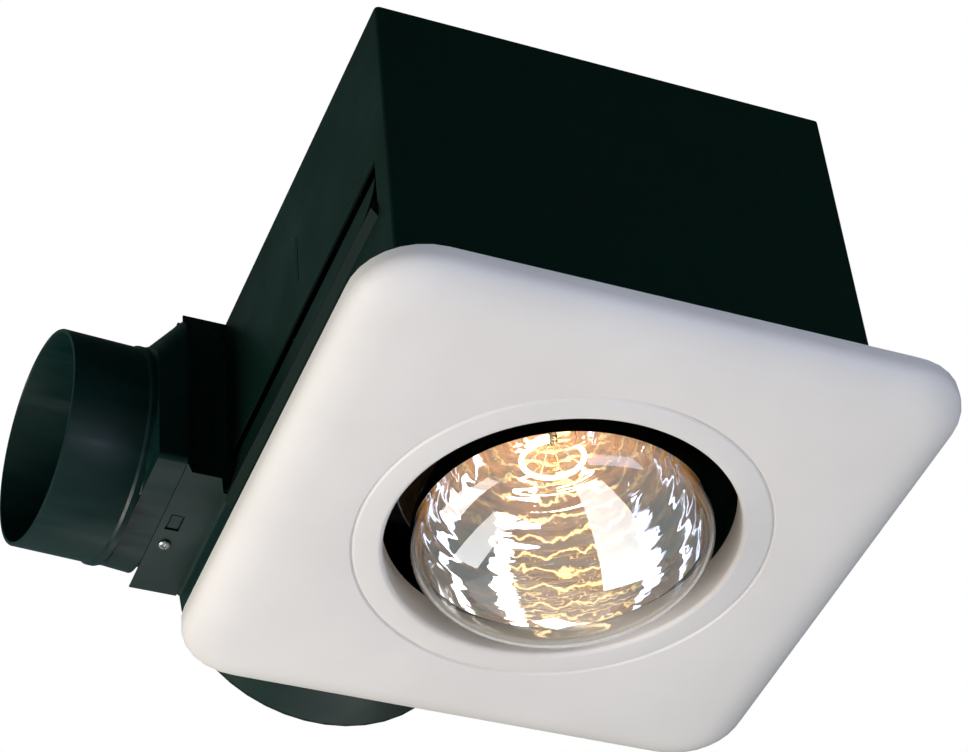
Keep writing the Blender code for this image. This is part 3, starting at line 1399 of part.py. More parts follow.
def wall_socket(name, side, parent):
    """A panel socket: a body through the cover's window with a rim on the outside."""
    middle = socket_x(side)
    half = (SOCKET_WIDTH / 2, SOCKET_HEIGHT / 2)
    rim = block(
        (middle - half[0] - SOCKET_RIM, BOX_FAR + GAP, SOCKET_Z - half[1] - SOCKET_RIM),
        (middle + half[0] + SOCKET_RIM, BOX_FAR + SOCKET_RIM, SOCKET_Z + half[1] + SOCKET_RIM),
    )
    socket = solid(name, rim, PALE_NYLON, parent)
    body = block(
        (middle - half[0], BOX_FAR - SOCKET_DEPTH, SOCKET_Z - half[1]),
        (middle + half[0], BOX_FAR + SOCKET_RIM / 2, SOCKET_Z + half[1]),
    )
    weld_on(socket, body, name + "_body")
    inner = (half[0] - SOCKET_RIM, half[1] - SOCKET_RIM)
    hollow = block(
        (middle - inner[0], BOX_FAR - SOCKET_DEPTH + SOCKET_RIM, SOCKET_Z - inner[1]),
        (middle + inner[0], BOX_FAR + SOCKET_RIM * 2, SOCKET_Z + inner[1]),
    )
    cut(socket, hollow, name + "_hollow")
    return socket


def lead_plug(name, side, parent):
    middle = socket_x(side)
    inset = SOCKET_RIM + PLUG_CLEARANCE
    near = BOX_FAR - SOCKET_DEPTH + SOCKET_RIM + PLUG_CLEARANCE
    outline = filleted(
        rectangle(
            (middle - SOCKET_WIDTH / 2 + inset, SOCKET_Z - SOCKET_HEIGHT / 2 + inset),
            (middle + SOCKET_WIDTH / 2 - inset, SOCKET_Z + SOCKET_HEIGHT / 2 - inset),
        ),
        PLUG_CORNER,
        BEND_STEPS,
    )
    return solid(name, prism(outline, near, near + PLUG_LENGTH, "Y"), BLACK_PLASTIC, parent)


def lead(name, side, route, parent):
    """A lead from the plug on one side along chosen points."""
    plug_end = BOX_FAR - SOCKET_DEPTH + SOCKET_RIM + PLUG_CLEARANCE + PLUG_LENGTH + GAP
    start = [(socket_x(side), plug_end, SOCKET_Z), (socket_x(side), plug_end + LEAD_STRAIGHT, SOCKET_Z)]
    return wire(name, start + route, LEAD_RADIUS, LEAD_COVER, parent, LEAD_STEPS)


def build_grille(heater):
    grille_panel(heater)
    grille_spring("grille_spring_left", -1, heater)
    grille_spring("grille_spring_right", 1, heater)


def build_blower(heater):
    scroll_near_plate(heater)
    scroll_far_plate(heater)
    scroll_wrap(heater)
    inlet_ring(heater)
    axis = frame_at("wheel_axis", (WHEEL_X, 0, WHEEL_Z), parent=heater)
    blower_wheel(axis)
    wheel_clip(axis)
    motor_shaft(axis)
    motor_rotor(axis)
    motor = frame_at("motor_frame", (WHEEL_X, 0, WHEEL_Z), parent=heater)
    motor_stator(motor)
    motor_coil(motor)
    motor_bracket("motor_bracket_near", STACK_NEAR - GAP, -1, motor)
    motor_bracket("motor_bracket_far", STACK_FAR + GAP, 1, motor)
    motor_carrier(motor)
    motor_screw("motor_screw_left", -1, motor)
    motor_screw("motor_screw_right", 1, motor)


def build_connector(heater):
    duct_connector(heater)
    place = (FIXING_X, FIXING_Y, OUTLET_BASE - GAP)
    small_screw("connector_screw", place, -1, "Z", ZINC, heater)
    turn = (0, COLLAR_TILT, COLLAR_TURN)
    collar = frame_at("collar_frame", COLLAR_RIM, turn, heater)
    hinge = frame_at("damper_axis", (DAMPER_INBOARD, 0, DAMPER_PIN_HEIGHT), parent=collar)
    damper_flap(hinge)
    damper_pin(hinge)


def build_lamp(heater):
    lamp = frame_at("lamp_frame", LAMP_AXIS, parent=heater)
    lamp_envelope(lamp)
    lamp_stem(lamp)
    lamp_filament(lamp)
    lamp_base_shell(lamp)
    lamp_base_insulator(lamp)
    lamp_contact(lamp)


def build_lampholder(heater):
    lampholder_body(heater)
    lampholder_shell(heater)
    lampholder_contact(heater)
    lampholder_bar(heater)
    lampholder_screw("lampholder_screw_left", -1, heater)
    lampholder_screw("lampholder_screw_right", 1, heater)
    thermal_cutout(heater)
    heat_baffle(heater)


def build_wiring(heater):
    wiring_cover(heater)
    wall_socket("motor_socket", -1, heater)
    wall_socket("lamp_socket", 1, heater)
    lead_plug("motor_plug", -1, heater)
    lead_plug("lamp_plug", 1, heater)
    lead("motor_lead", -1, MOTOR_LEAD_ROUTE, heater)
    lead("lamp_lead", 1, LAMP_LEAD_ROUTE, heater)
    place = (EARTH_SCREW_X, BOX_FAR + GAP, EARTH_SCREW_Z)
    small_screw("earth_screw", place, 1, "Y", GREEN_SCREW, heater)


def main():
    clear_scene()
    heater = frame_at("heater", (0, 0, 0))
    build_grille(heater)
    housing_shell(heater)
    housing_far_wall(heater)
    build_blower(heater)
    build_connector(heater)
    build_lamp(heater)
    build_lampholder(heater)
    build_wiring(heater)


main()
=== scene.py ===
# %% [markdown]
# This lesson dresses a bathroom ceiling heater: a black steel box that hangs in the ceiling, a pale
# moulded grille under it, one reflector lamp in the grille's opening, and a blower with its duct
# connector on the side. The solid parts come in at their real size and place. Here they get their
# finishes, and the pieces that deserve a finer mesh, such as the lamp, the grille and the connector, are
# built again on the same sizes.

# %% Load the parts
import math

import bmesh
import bpy
from mathutils import Euler, Matrix, Vector


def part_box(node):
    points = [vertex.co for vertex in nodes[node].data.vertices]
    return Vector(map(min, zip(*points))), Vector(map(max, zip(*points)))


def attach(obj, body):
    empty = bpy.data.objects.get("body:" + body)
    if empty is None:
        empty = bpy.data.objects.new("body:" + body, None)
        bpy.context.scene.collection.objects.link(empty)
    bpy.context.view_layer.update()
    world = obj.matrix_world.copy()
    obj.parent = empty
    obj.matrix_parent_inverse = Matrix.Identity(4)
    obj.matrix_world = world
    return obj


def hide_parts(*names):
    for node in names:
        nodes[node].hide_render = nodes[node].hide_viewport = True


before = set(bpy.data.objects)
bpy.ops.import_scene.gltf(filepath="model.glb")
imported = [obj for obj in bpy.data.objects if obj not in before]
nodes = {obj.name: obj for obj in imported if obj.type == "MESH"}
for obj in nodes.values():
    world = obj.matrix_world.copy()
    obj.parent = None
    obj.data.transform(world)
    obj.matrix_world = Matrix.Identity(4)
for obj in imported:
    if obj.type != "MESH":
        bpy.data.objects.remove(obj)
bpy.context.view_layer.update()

# %% [markdown]
# The camera looks up at the heater from below and from the left, as a person would who stands beside it.
# Its place was worked out from the straight edges and circles of the heater itself, so a long lens fits:
# the far edges are hardly smaller than the near ones.

# %% Camera
CAMERA_PLACE = (-0.4309, -0.8235, -0.7898)
CAMERA_TURN = (133.4049, 4.3805, -21.9308)
CAMERA_LENS = 108.83
SENSOR_WIDTH = 36

view = bpy.data.cameras.new("view")
view.lens = CAMERA_LENS
view.sensor_width = SENSOR_WIDTH
camera = bpy.data.objects.new("camera", view)
camera.location = CAMERA_PLACE
camera.rotation_euler = Euler([math.radians(angle) for angle in CAMERA_TURN])
bpy.context.scene.collection.objects.link(camera)
bpy.context.scene.camera = camera
bpy.context.scene.view_settings.view_transform = "Standard"
print("camera is", round(Vector(CAMERA_PLACE).length, 2), "m from the lamp")

# %% [markdown]
# Colours are written as the hex values that a paint or plastics maker would give, and one function turns
# them into the linear values that a renderer adds up. One more function adds a node to a material: a
# setting is passed by its name, and an input takes either a value or the output of another node.

# %% Helpers for materials
MM = 0.001


def linear(code):
    """The linear colour of an sRGB hex code."""
    parts = [int(code[i:i + 2], 16) / 255 for i in (1, 3, 5)]
    return (*[p / 12.92 if p <= 0.04045 else ((p + 0.055) / 1.055) ** 2.4 for p in parts], 1)


def node(tree, kind, inputs=None, **settings):
    """Adds one shader node; each input is a value or the output of another node."""
    made = tree.nodes.new("ShaderNode" + kind)
    for name, value in settings.items():
        setattr(made, name, value)
    for name, value in (inputs or {}).items():
        if isinstance(value, bpy.types.NodeSocket):
            tree.links.new(value, made.inputs[name])
        else:
            made.inputs[name].default_value = value
    return made


def new_finish(name, code, roughness, metallic=0.0, **more):
    """A material with one Principled shader; more holds its other inputs, with _ for a space."""
    material = bpy.data.materials.new(name)
    material.use_nodes = True
    shader = material.node_tree.nodes["Principled BSDF"]
    values = {"Base Color": linear(code), "Roughness": roughness, "Metallic": metallic}
    values.update({key.replace("_", " "): value for key, value in more.items()})
    for key, value in values.items():
        shader.inputs[key].default_value = value
    return material, material.node_tree, shader


def speckle(tree, size, stretch=(1, 1, 1), detail=2.0):
    """Noise whose spots are about the given size in metres, drawn out along an axis by its stretch."""
    place = node(tree, "TexCoord").outputs["Object"]
    scale = [1 / (size * way) for way in stretch]
    sized = node(tree, "Mapping", {"Vector": place, "Scale": scale})
    return node(tree, "TexNoise", {"Vector": sized.outputs[0], "Scale": 1.0, "Detail": detail}).outputs[0]


def between(tree, value, low, high, start=0.3, end=0.7):
    """Spreads the stretch of a value from start to end over a range; the default stretch suits noise."""
    inputs = {"Value": value, "From Min": start, "From Max": end, "To Min": low, "To Max": high}
    return node(tree, "MapRange", inputs).outputs[0]


def mixed(tree, share, first, second):
    """Mixes two colours, each a hex code or the output of a node."""
    made = node(tree, "Mix", {"Factor": share}, data_type="RGBA")
    for slot, value in ((6, first), (7, second)):
        if isinstance(value, str):
            made.inputs[slot].default_value = linear(value)
        else:
            tree.links.new(value, made.inputs[slot])
    return made.outputs[2]


def bumpy(tree, shader, height, depth, strength=1.0, under=None):
    """Raises the surface by a height value times a real depth in metres."""
    inputs = {"Height": height, "Distance": depth, "Strength": strength}
    if under is not None:
        inputs["Normal"] = under
    made = node(tree, "Bump", inputs)
    tree.links.new(made.outputs[0], shader.inputs["Normal"])
    return made.outputs[0]


print("helpers ready; mid grey is", round(linear("#808080")[0], 3), "in linear light")

# %% [markdown]
# The heater is lit like a product on a white table top, from below, because that is the side people see.
# The room is white to the camera and to glass, and it darkens above the heater, so that the black enamel
# keeps its depth. The floor is far below and pale, and its light is what fills the grille from
# underneath.

# %% Stage: floor and room
FLOOR_HEIGHT = -2.3
FLOOR_SIZE = 200
FLOOR_COLOUR = "#E8E8E6"
FLOOR_ROUGHNESS = 0.9
FLOOR_GLOW = 0.72         # added for the camera only, so that the floor reads as white paper
ROOM_TOWARDS = (-0.62, 0.70, -0.35)   # the side of the room that is bright
ROOM_DARK = 0.02
ROOM_BRIGHT = 0.22
ROOM_FADE = (-0.35, 0.75)             # how far a way leans to that side where the tone starts and ends
ROOM_TINT = (0.62, 1.0, 0.97)
WHITE = (1, 1, 1, 1)


def make_floor():
    """One wide sheet of white paper under the heater."""
    shape = bmesh.new()
    bmesh.ops.create_grid(shape, x_segments=1, y_segments=1, size=FLOOR_SIZE / 2)
    mesh = bpy.data.meshes.new("floor")
    shape.to_mesh(mesh)
    shape.free()
    floor = bpy.data.objects.new("floor", mesh)
    floor.location.z = FLOOR_HEIGHT
    bpy.context.scene.collection.objects.link(floor)
    material, tree, shader = new_finish("paper_floor", FLOOR_COLOUR, FLOOR_ROUGHNESS)
    path = node(tree, "LightPath")
    glow = node(tree, "Math", {0: path.outputs["Is Camera Ray"], 1: FLOOR_GLOW}, operation="MULTIPLY")
    shader.inputs["Emission Color"].default_value = WHITE
    tree.links.new(glow.outputs[0], shader.inputs["Emission Strength"])
    mesh.materials.append(material)
    return floor


def make_room():
    """White to the camera and through glass; otherwise bright on the far left and dark on the near side."""
    world = bpy.data.worlds.new("room")
    world.use_nodes = True
    tree = world.node_tree
    background = tree.nodes["Background"]
    ray = node(tree, "TexCoord").outputs["Generated"]
    towards = Vector(ROOM_TOWARDS).normalized()
    lean = node(tree, "VectorMath", {0: ray, 1: towards}, operation="DOT_PRODUCT").outputs["Value"]
    tone = between(tree, lean, ROOM_DARK, ROOM_BRIGHT, *ROOM_FADE)
    cool = node(tree, "VectorMath", {0: ROOM_TINT, "Scale": tone}, operation="SCALE").outputs[0]
    path = node(tree, "LightPath")
    seen = node(tree, "Math", {
        0: path.outputs["Is Camera Ray"],
        1: path.outputs["Is Transmission Ray"],
    }, operation="MAXIMUM").outputs[0]
    colour = node(tree, "Mix", {"Factor": seen}, data_type="RGBA")
    tree.links.new(cool, colour.inputs[6])
    colour.inputs[7].default_value = WHITE
    tree.links.new(colour.outputs[2], background.inputs["Color"])
    bpy.context.scene.world = world
    return world


floor = make_floor()
room = make_room()
print("floor at", FLOOR_HEIGHT, "m")

# %% [markdown]
# The key is a soft box below on the left and a little behind, so the left edge of the grille is its
# brightest part and the near edge lies in half shade. White cards stand where their reflections fall on
# the lamp's dome: a long one below on the right gives the tall white window, three smaller ones give the
# patches beside it. They only show in the lamp. A faint card on the far side puts a sheen on the black
# parts, a weak bluish light fills the near side, and one from above serves the top.

# %% Lamps and cards
REACH = 1.5               # metres from the grille to each card
OVERHEAD_TOWARDS = (-0.3, -0.35, -0.9)


def soft_box(name, towards, reach, size, power, code, along=None):
    """A soft box that faces the grille from a direction; along is the way that its long side runs."""
    light = bpy.data.lights.new(name, "AREA")
    light.shape = "RECTANGLE"
    light.size, light.size_y = size
    light.energy = power
    light.color = linear(code)[:3]
    made = bpy.data.objects.new(name, light)
    back = Vector(towards).normalized()
    up = Vector(along or (0, 1, 0))
    up = (up - back * up.dot(back)).normalized()
    side = up.cross(back)
    turn = Matrix((side, up, back)).transposed().to_4x4()
    made.matrix_world = Matrix.Translation(back * reach) @ turn
    made.visible_camera = False
    bpy.context.scene.collection.objects.link(made)
    return made


def card(name, towards, size, glow, along=None):
    """A soft box that only shows in reflections, with its brightness given for each square metre."""
    made = soft_box(name, towards, REACH, size, glow * math.pi * size[0] * size[1], "#FFFFFF", along)
    made.visible_diffuse = False
    made.visible_transmission = False
    return made


def overhead(power, angle):
    """A soft light from above that leaves no sheen."""
    light = bpy.data.lights.new("overhead", "SUN")
    light.energy = power
    light.angle = math.radians(angle)
    made = bpy.data.objects.new("overhead", light)
    made.rotation_euler = Vector(OVERHEAD_TOWARDS).to_track_quat("-Z", "Y").to_euler()
    made.visible_glossy = False
    bpy.context.scene.collection.objects.link(made)
    return made


soft_box("key", towards=(-0.80, 0.25, -0.55), reach=1.1, size=(0.55, 0.55), power=8.8, code="#FFFAF5")
soft_box("near_fill", towards=(0.25, -0.82, -0.52), reach=1.9, size=(1.2, 0.8), power=15.5, code="#D3DEFF")
cards = [
    card("window_card", towards=(0.42, 0.19, -0.89), size=(0.42, 1.9), glow=16, along=(0.81, 1.55, 0.70)),
    card("left_card", towards=(-0.78, 0.05, -0.62), size=(0.5, 0.7), glow=12, along=(0, 1, 0.2)),
    card("far_card", towards=(-0.22, 0.52, -0.82), size=(0.34, 0.85), glow=13, along=(0.1, 1, 0.5)),
    card("small_card", towards=(0.38, 0.85, -0.34), size=(0.2, 0.14), glow=17),
]
card("sheen_card", towards=(0.27, 0.80, -0.52), size=(1.0, 0.6), glow=1.1)
overhead(power=1.2, angle=25)

# %% [markdown]
# The box and the blower are pressed from thin steel sheet and dipped or powder coated black. Baked enamel
# pulls itself nearly flat, but a faint orange peel stays, a few millimetres across. The coat is satin: it
# shows broad soft sheens and no sharp reflections. Handling leaves slightly smoother patches.

# %% Black enamel
ORANGE_PEEL = 3.0 * MM
PEEL_DEPTH = 0.02 * MM
HANDLING = 40 * MM
HANDLING_SHARE = 0.5      # of the worn colour, where the coat is handled most
HANDLING_SPREAD = 0.08


def dress(parts):
    """Gives each named part its material, and tells how many parts there were."""
    for material, names in parts.items():
        for name in names:
            nodes[name].data.materials[0] = material
    return sum(len(names) for names in parts.values())


def black_enamel(name, dark, worn, roughness, specular):
    """A dark coat with orange peel, worn a little paler and smoother in patches."""
    material, tree, shader = new_finish(name, dark, roughness, IOR=1.5, Specular_IOR_Level=specular)
    patches = speckle(tree, HANDLING, detail=4.0)
    handled = between(tree, patches, 0.0, HANDLING_SHARE)
    tree.links.new(mixed(tree, handled, dark, worn), shader.inputs["Base Color"])
    rough = between(tree, patches, roughness + HANDLING_SPREAD, roughness - HANDLING_SPREAD)
    tree.links.new(rough, shader.inputs["Roughness"])
    bumpy(tree, shader, speckle(tree, ORANGE_PEEL), PEEL_DEPTH)
    return material


housing_enamel = black_enamel("baked_enamel_on_steel", "#041A13", "#07221B", 0.46, 0.2)
blower_enamel = black_enamel("satin_enamel_on_blower", "#06221D", "#0B2B26", 0.42, 0.34)
ENAMEL_PARTS = {
    housing_enamel: ("housing_shell", "housing_far_wall", "wiring_cover", "lampholder_bar"),
    blower_enamel: ("scroll_near_plate", "scroll_far_plate", "scroll_wrap", "inlet_ring", "motor_carrier"),
}
print("enamelled parts:", dress(ENAMEL_PARTS))

# %% [markdown]
# Metals. Zinc plate is bright and slightly cloudy, spring steel is polished by its rollers, and mill
# finished aluminium keeps fine lines along the direction in which it was rolled. Each is the metal
# itself, so the colour is its reflection and the roughness does the rest. The motor's core is a pile of
# stamped sheets, which reads as fine lines across its edge, and its coil is wound from enamelled copper
# wire.

# %% Metals
ROLLING_LINES = 0.6 * MM
PLATE_CLOUD = 5 * MM
CAST_SKIN = 1.2 * MM
LAMINATION = 0.5 * MM
WINDING_WIRE = 0.7 * MM
METAL_SPREAD = 0.08       # how far the roughness of a metal wanders
LAYER_FROM = -0.8         # where on the wave between two layers the groove starts, and where it ends
LAYER_TO = 0.6


def plain_metal(name, code, roughness, size, stretch=(1, 1, 1), depth=0.01 * MM):
    """A metal with clouds or rolling lines of a real size in its roughness and its surface."""
    material, tree, shader = new_finish(name, code, roughness, 1.0)
    grain = speckle(tree, size, stretch, 3.0)
    rough = between(tree, grain, roughness - METAL_SPREAD, roughness + METAL_SPREAD)
    tree.links.new(rough, shader.inputs["Roughness"])
    bumpy(tree, shader, grain, depth)
    return material


def layered_metal(name, code, dark, roughness, spacing, axis, depth):
    """Sheets or wires that lie side by side along an axis, at a real spacing."""
    material, tree, shader = new_finish(name, code, roughness, 1.0)
    place = node(tree, "TexCoord").outputs["Object"]
    apart = node(tree, "SeparateXYZ", {0: place}).outputs[axis]
    turns = node(tree, "Math", {0: apart, 1: math.tau / spacing}, operation="MULTIPLY").outputs[0]
    wave = node(tree, "Math", {0: turns}, operation="SINE").outputs[0]
    rise = between(tree, wave, 0.0, 1.0, LAYER_FROM, LAYER_TO)
    tree.links.new(mixed(tree, rise, dark, code), shader.inputs["Base Color"])
    bumpy(tree, shader, rise, depth)
    return material


zinc = plain_metal("bright_zinc_plate", "#C9CACB", 0.34, PLATE_CLOUD)
spring_steel = plain_metal("rolled_spring_steel", "#BDBBB8", 0.26, ROLLING_LINES, (12, 1, 1))
brass = plain_metal("drawn_brass", "#D9B368", 0.30, ROLLING_LINES, (1, 1, 10))
cast_aluminium = plain_metal("die_cast_aluminium", "#BFC0C2", 0.48, CAST_SKIN, depth=0.05 * MM)
mill_aluminium = plain_metal("mill_finish_aluminium", "#D2D3D5", 0.32, ROLLING_LINES, (1, 1, 20))
green_zinc = plain_metal("green_passivated_zinc", "#3E8A5B", 0.36, PLATE_CLOUD)
laminations = layered_metal(
    "stamped_motor_laminations", "#85868A", "#2E2F33", 0.42, spacing=LAMINATION * 2, axis="Y", depth=0.1 * MM,
)
winding = layered_metal(
    "enamelled_copper_wire", "#B4642F", "#4E1E0C", 0.32, spacing=WINDING_WIRE * 2, axis="X", depth=0.25 * MM,
)
METAL_PARTS = {
    zinc: (
        "damper_pin", "connector_screw", "motor_screw_left", "motor_screw_right",
        "lampholder_screw_left", "lampholder_screw_right",
    ),
    spring_steel: ("grille_spring_left", "grille_spring_right", "wheel_clip", "motor_shaft"),
    brass: ("lamp_contact", "lampholder_shell", "lampholder_contact", "lamp_base_shell"),
    cast_aluminium: ("motor_bracket_near", "motor_bracket_far", "motor_rotor"),
    mill_aluminium: ("heat_baffle",),
    green_zinc: ("earth_screw",),
    laminations: ("motor_stator",),
    winding: ("motor_coil",),
}
print("metal parts:", dress(METAL_PARTS))

# %% [markdown]
# The plastics. The connector, the wheel and the flap are moulded in black polypropylene: smooth, a little
# waxy, with faint flow marks along the way the melt ran. The sockets are natural nylon and the leads have
# a soft PVC cover. The lampholder is glazed porcelain, and the lamp's base ends in black vitrified glass.

# %% Plastics, porcelain and lead covers
FLOW_MARKS = 6 * MM
FLOW_STRETCH = (6, 1, 1)
FLOW_SHARE = 0.6          # of the duller colour, in the middle of a flow mark
FLOW_SMOOTHER = 0.07
FLOW_ROUGHER = 0.09


def moulded(name, code, dull, roughness, size, stretch=(1, 1, 1), depth=0.02 * MM, **more):
    """A plastic or a fired ceramic, with marks of a real size in its colour, sheen and surface."""
    material, tree, shader = new_finish(name, code, roughness, 0.0, **more)
    flow = speckle(tree, size, stretch, 3.0)
    tree.links.new(mixed(tree, between(tree, flow, 0.0, FLOW_SHARE), code, dull), shader.inputs["Base Color"])
    rough = between(tree, flow, roughness - FLOW_SMOOTHER, roughness + FLOW_ROUGHER)
    tree.links.new(rough, shader.inputs["Roughness"])
    bumpy(tree, shader, flow, depth)
    return material


polypropylene = moulded(
    "moulded_black_polypropylene", "#05211E", "#092926", 0.36, FLOW_MARKS, FLOW_STRETCH,
    IOR=1.49, Specular_IOR_Level=0.27,
)
nylon = moulded("natural_nylon", "#DAD6C8", "#C9C4B2", 0.45, size=2 * MM, IOR=1.53)
lead_cover = moulded("soft_pvc_lead_cover", "#1A1A1A", "#262626", 0.5, size=1.5 * MM, IOR=1.53)
porcelain = moulded("glazed_porcelain", "#EDE9E0", "#DDD7CA", 0.14, size=12 * MM, IOR=1.55, Coat_Weight=0.5)
black_glass = moulded("vitrified_black_glass", "#15151A", "#1E1E24", 0.12, size=4 * MM, IOR=1.52)
PLASTIC_PARTS = {
    polypropylene: (
        "duct_connector", "blower_wheel", "damper_flap", "thermal_cutout", "motor_plug", "lamp_plug",
    ),
    nylon: ("motor_socket", "lamp_socket"),
    lead_cover: ("motor_lead", "lamp_lead"),
    porcelain: ("lampholder_body",),
    black_glass: ("lamp_base_insulator",),
}
print("plastic and ceramic parts:", dress(PLASTIC_PARTS))

# %% [markdown]
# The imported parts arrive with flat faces. A small geometry node group joins their corners and shades
# every edge smooth that folds by less than about a third of a right angle, so that the scroll and the
# screws look round while the folded corners of the box stay crisp. Their points don't move.

# %% Smooth shading for the round parts
WELD = 0.01 * MM
SMOOTH_BELOW = math.radians(32)


def smoothing_group():
    """Welds the corners, shades every face smooth, and keeps the edges that fold by more sharp."""
    tree = bpy.data.node_groups.new("smooth_round_faces", "GeometryNodeTree")
    tree.interface.new_socket("Geometry", in_out="INPUT", socket_type="NodeSocketGeometry")
    tree.interface.new_socket("Geometry", in_out="OUTPUT", socket_type="NodeSocketGeometry")
    start = tree.nodes.new("NodeGroupInput")
    end = tree.nodes.new("NodeGroupOutput")
    weld = tree.nodes.new("GeometryNodeMergeByDistance")
    weld.inputs["Distance"].default_value = WELD
    faces = tree.nodes.new("GeometryNodeSetShadeSmooth")
    angle = tree.nodes.new("GeometryNodeInputMeshEdgeAngle")
    fold = tree.nodes.new("FunctionNodeCompare")
    fold.operation = "LESS_THAN"
    fold.inputs["B"].default_value = SMOOTH_BELOW
    edges = tree.nodes.new("GeometryNodeSetShadeSmooth")
    edges.domain = "EDGE"
    tree.links.new(start.outputs[0], weld.inputs["Geometry"])
    tree.links.new(weld.outputs["Geometry"], faces.inputs["Geometry"])
    tree.links.new(angle.outputs["Unsigned Angle"], fold.inputs["A"])
    tree.links.new(faces.outputs["Geometry"], edges.inputs["Geometry"])
    tree.links.new(fold.outputs["Result"], edges.inputs["Shade Smooth"])
    tree.links.new(edges.outputs["Geometry"], end.inputs[0])
    return tree


smoothing = smoothing_group()
for part in nodes.values():
    part.modifiers.new("smooth_round_faces", "NODES").node_group = smoothing
print("smoothed parts:", len(nodes))

# %% [markdown]
# Most of the finer pieces are made in two ways. A turned piece is a profile of radius and height points
# spun about the lamp's axis, as on a lathe. A lofted piece is a row of rings with the same number of
# points, skinned one to the next. Both are closed shells with a real wall.

# %% Helpers for meshes


def piece(name, shape, material, body, smooth=35):
    """An object from a bmesh, shaded smooth up to an angle, that rides on a body."""
    bmesh.ops.recalc_face_normals(shape, faces=shape.faces)
    mesh = bpy.data.meshes.new(name)
    shape.to_mesh(mesh)
    shape.free()
    mesh.materials.append(material)
    mesh.shade_smooth()
    mesh.set_sharp_from_angle(angle=math.radians(smooth))
    made = bpy.data.objects.new(name, mesh)
    bpy.context.scene.collection.objects.link(made)
    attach(made, body)
    return made


def loft(rings, closed=True, capped=False):
    """Skins a row of rings; a closed row joins its last ring to its first."""
    made = bmesh.new()
    rows = [[made.verts.new(point) for point in ring] for ring in rings]
    pairs = list(zip(rows, rows[1:]))
    if closed:
        pairs.append((rows[-1], rows[0]))
    for one, two in pairs:
        for i in range(len(one)):
            j = (i + 1) % len(one)
            made.faces.new((one[i], one[j], two[j], two[i]))
    if capped:
        made.faces.new(rows[0])
        made.faces.new(rows[-1])
    return made


def turned(profile, steps, centre=(0, 0)):
    """Turns (radius, height) points about an upright axis; a point on the axis closes the shape there."""
    made = bmesh.new()
    rows = []
    for radius, height in profile:
        count = steps if radius > 0 else 1
        angles = [math.tau * i / steps for i in range(count)]
        rows.append([
            made.verts.new((centre[0] + radius * math.cos(a), centre[1] + radius * math.sin(a), height))
            for a in angles
        ])
    for one, two in zip(rows, rows[1:] + rows[:1]):
        if len(one) == 1 and len(two) == 1:
            continue
        for i in range(steps):
            j = (i + 1) % steps
            corners = [one[i % len(one)], one[j % len(one)], two[j % len(two)], two[i % len(two)]]
            made.faces.new(dict.fromkeys(corners))
    return made


def tube(points, radius, sides, closed=False):
    """A round wire along points, with its ring of sides carried along without twisting."""
    rings = []
    count = len(points)
    normal = None
    for i, here in enumerate(points):
        back = points[i - 1] if closed or i else here
        ahead = points[(i + 1) % count] if closed or i < count - 1 else here
        along = (ahead - back).normalized()
        if normal is None:
            normal = along.orthogonal().normalized()
        normal = (normal - along * normal.dot(along)).normalized()
        other = along.cross(normal)
        angles = [math.tau * side / sides for side in range(sides)]
        rings.append([here + (normal * math.cos(a) + other * math.sin(a)) * radius for a in angles])
    return loft(rings, closed, not closed)


def together(shapes):
    """Several closed shapes in one mesh."""
    made = bmesh.new()
    for shape in shapes:
        spare = bpy.data.meshes.new("spare")
        shape.to_mesh(spare)
        made.from_mesh(spare)
        bpy.data.meshes.remove(spare)
        shape.free()
    return made


print("mesh helpers ready")

# %% [markdown]
# Each side wall of the box has a long channel, pressed in one stroke so that the sheet tears along its
# top and bows gently down to its lip. A fine sheet is laid into each channel here, because that soft
# hollow bow is what catches the light between the black slit above it and the shadow under its lip.

# %% Side channels
CHANNEL_FROM = -76 * MM
CHANNEL_TO = 106 * MM
CHANNEL_LIP = 71.4 * MM
CHANNEL_TOP = 94 * MM
CHANNEL_BOW = 4.2 * MM
CHANNEL_SHEET = 0.6 * MM
CHANNEL_SLANT = 7 * MM
CHANNEL_STEPS = 16


def channel_mesh(hand):
    """The bowed sheet of one side, slanted off at its near end; hand is -1 on the left and 1 on the right."""
    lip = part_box("housing_shell")[1].x
    near = []
    far = []
    for inset in (0, CHANNEL_SHEET):
        line = []
        for step in range(CHANNEL_STEPS + 1):
            share = step / CHANNEL_STEPS
            across = hand * (lip - inset - CHANNEL_BOW * math.sin(math.pi / 2 * share))
            line.append((across, share, CHANNEL_LIP + (CHANNEL_TOP - CHANNEL_LIP) * share))
        if inset:
            line.reverse()
        near += [(x, CHANNEL_FROM + CHANNEL_SLANT * (1 - share), z) for x, share, z in line]
        far += [(x, CHANNEL_TO, z) for x, _, z in line]
    return loft([near, far], closed=False, capped=True)


for side_name, hand in (("left", -1), ("right", 1)):
    piece("channel_sheet_" + side_name, channel_mesh(hand), housing_enamel, "housing")
print("channels are", round(1000 * (CHANNEL_TO - CHANNEL_FROM)), "mm long")

# %% [markdown]
# The duct connector is one thin moulding in black polypropylene. A square neck slides into the blower's
# outlet, the body behind it has one square corner under the near side and wide round ones elsewhere, and
# its top slopes down to the round collar that the duct is clamped on. It is lofted ring by ring, out
# along its outside and back along its inside, so that its wall is real all the way. Under its neck a
# catch stands in the window of the outlet's floor, and a short rib closes the corner behind the near
# plate's tab.

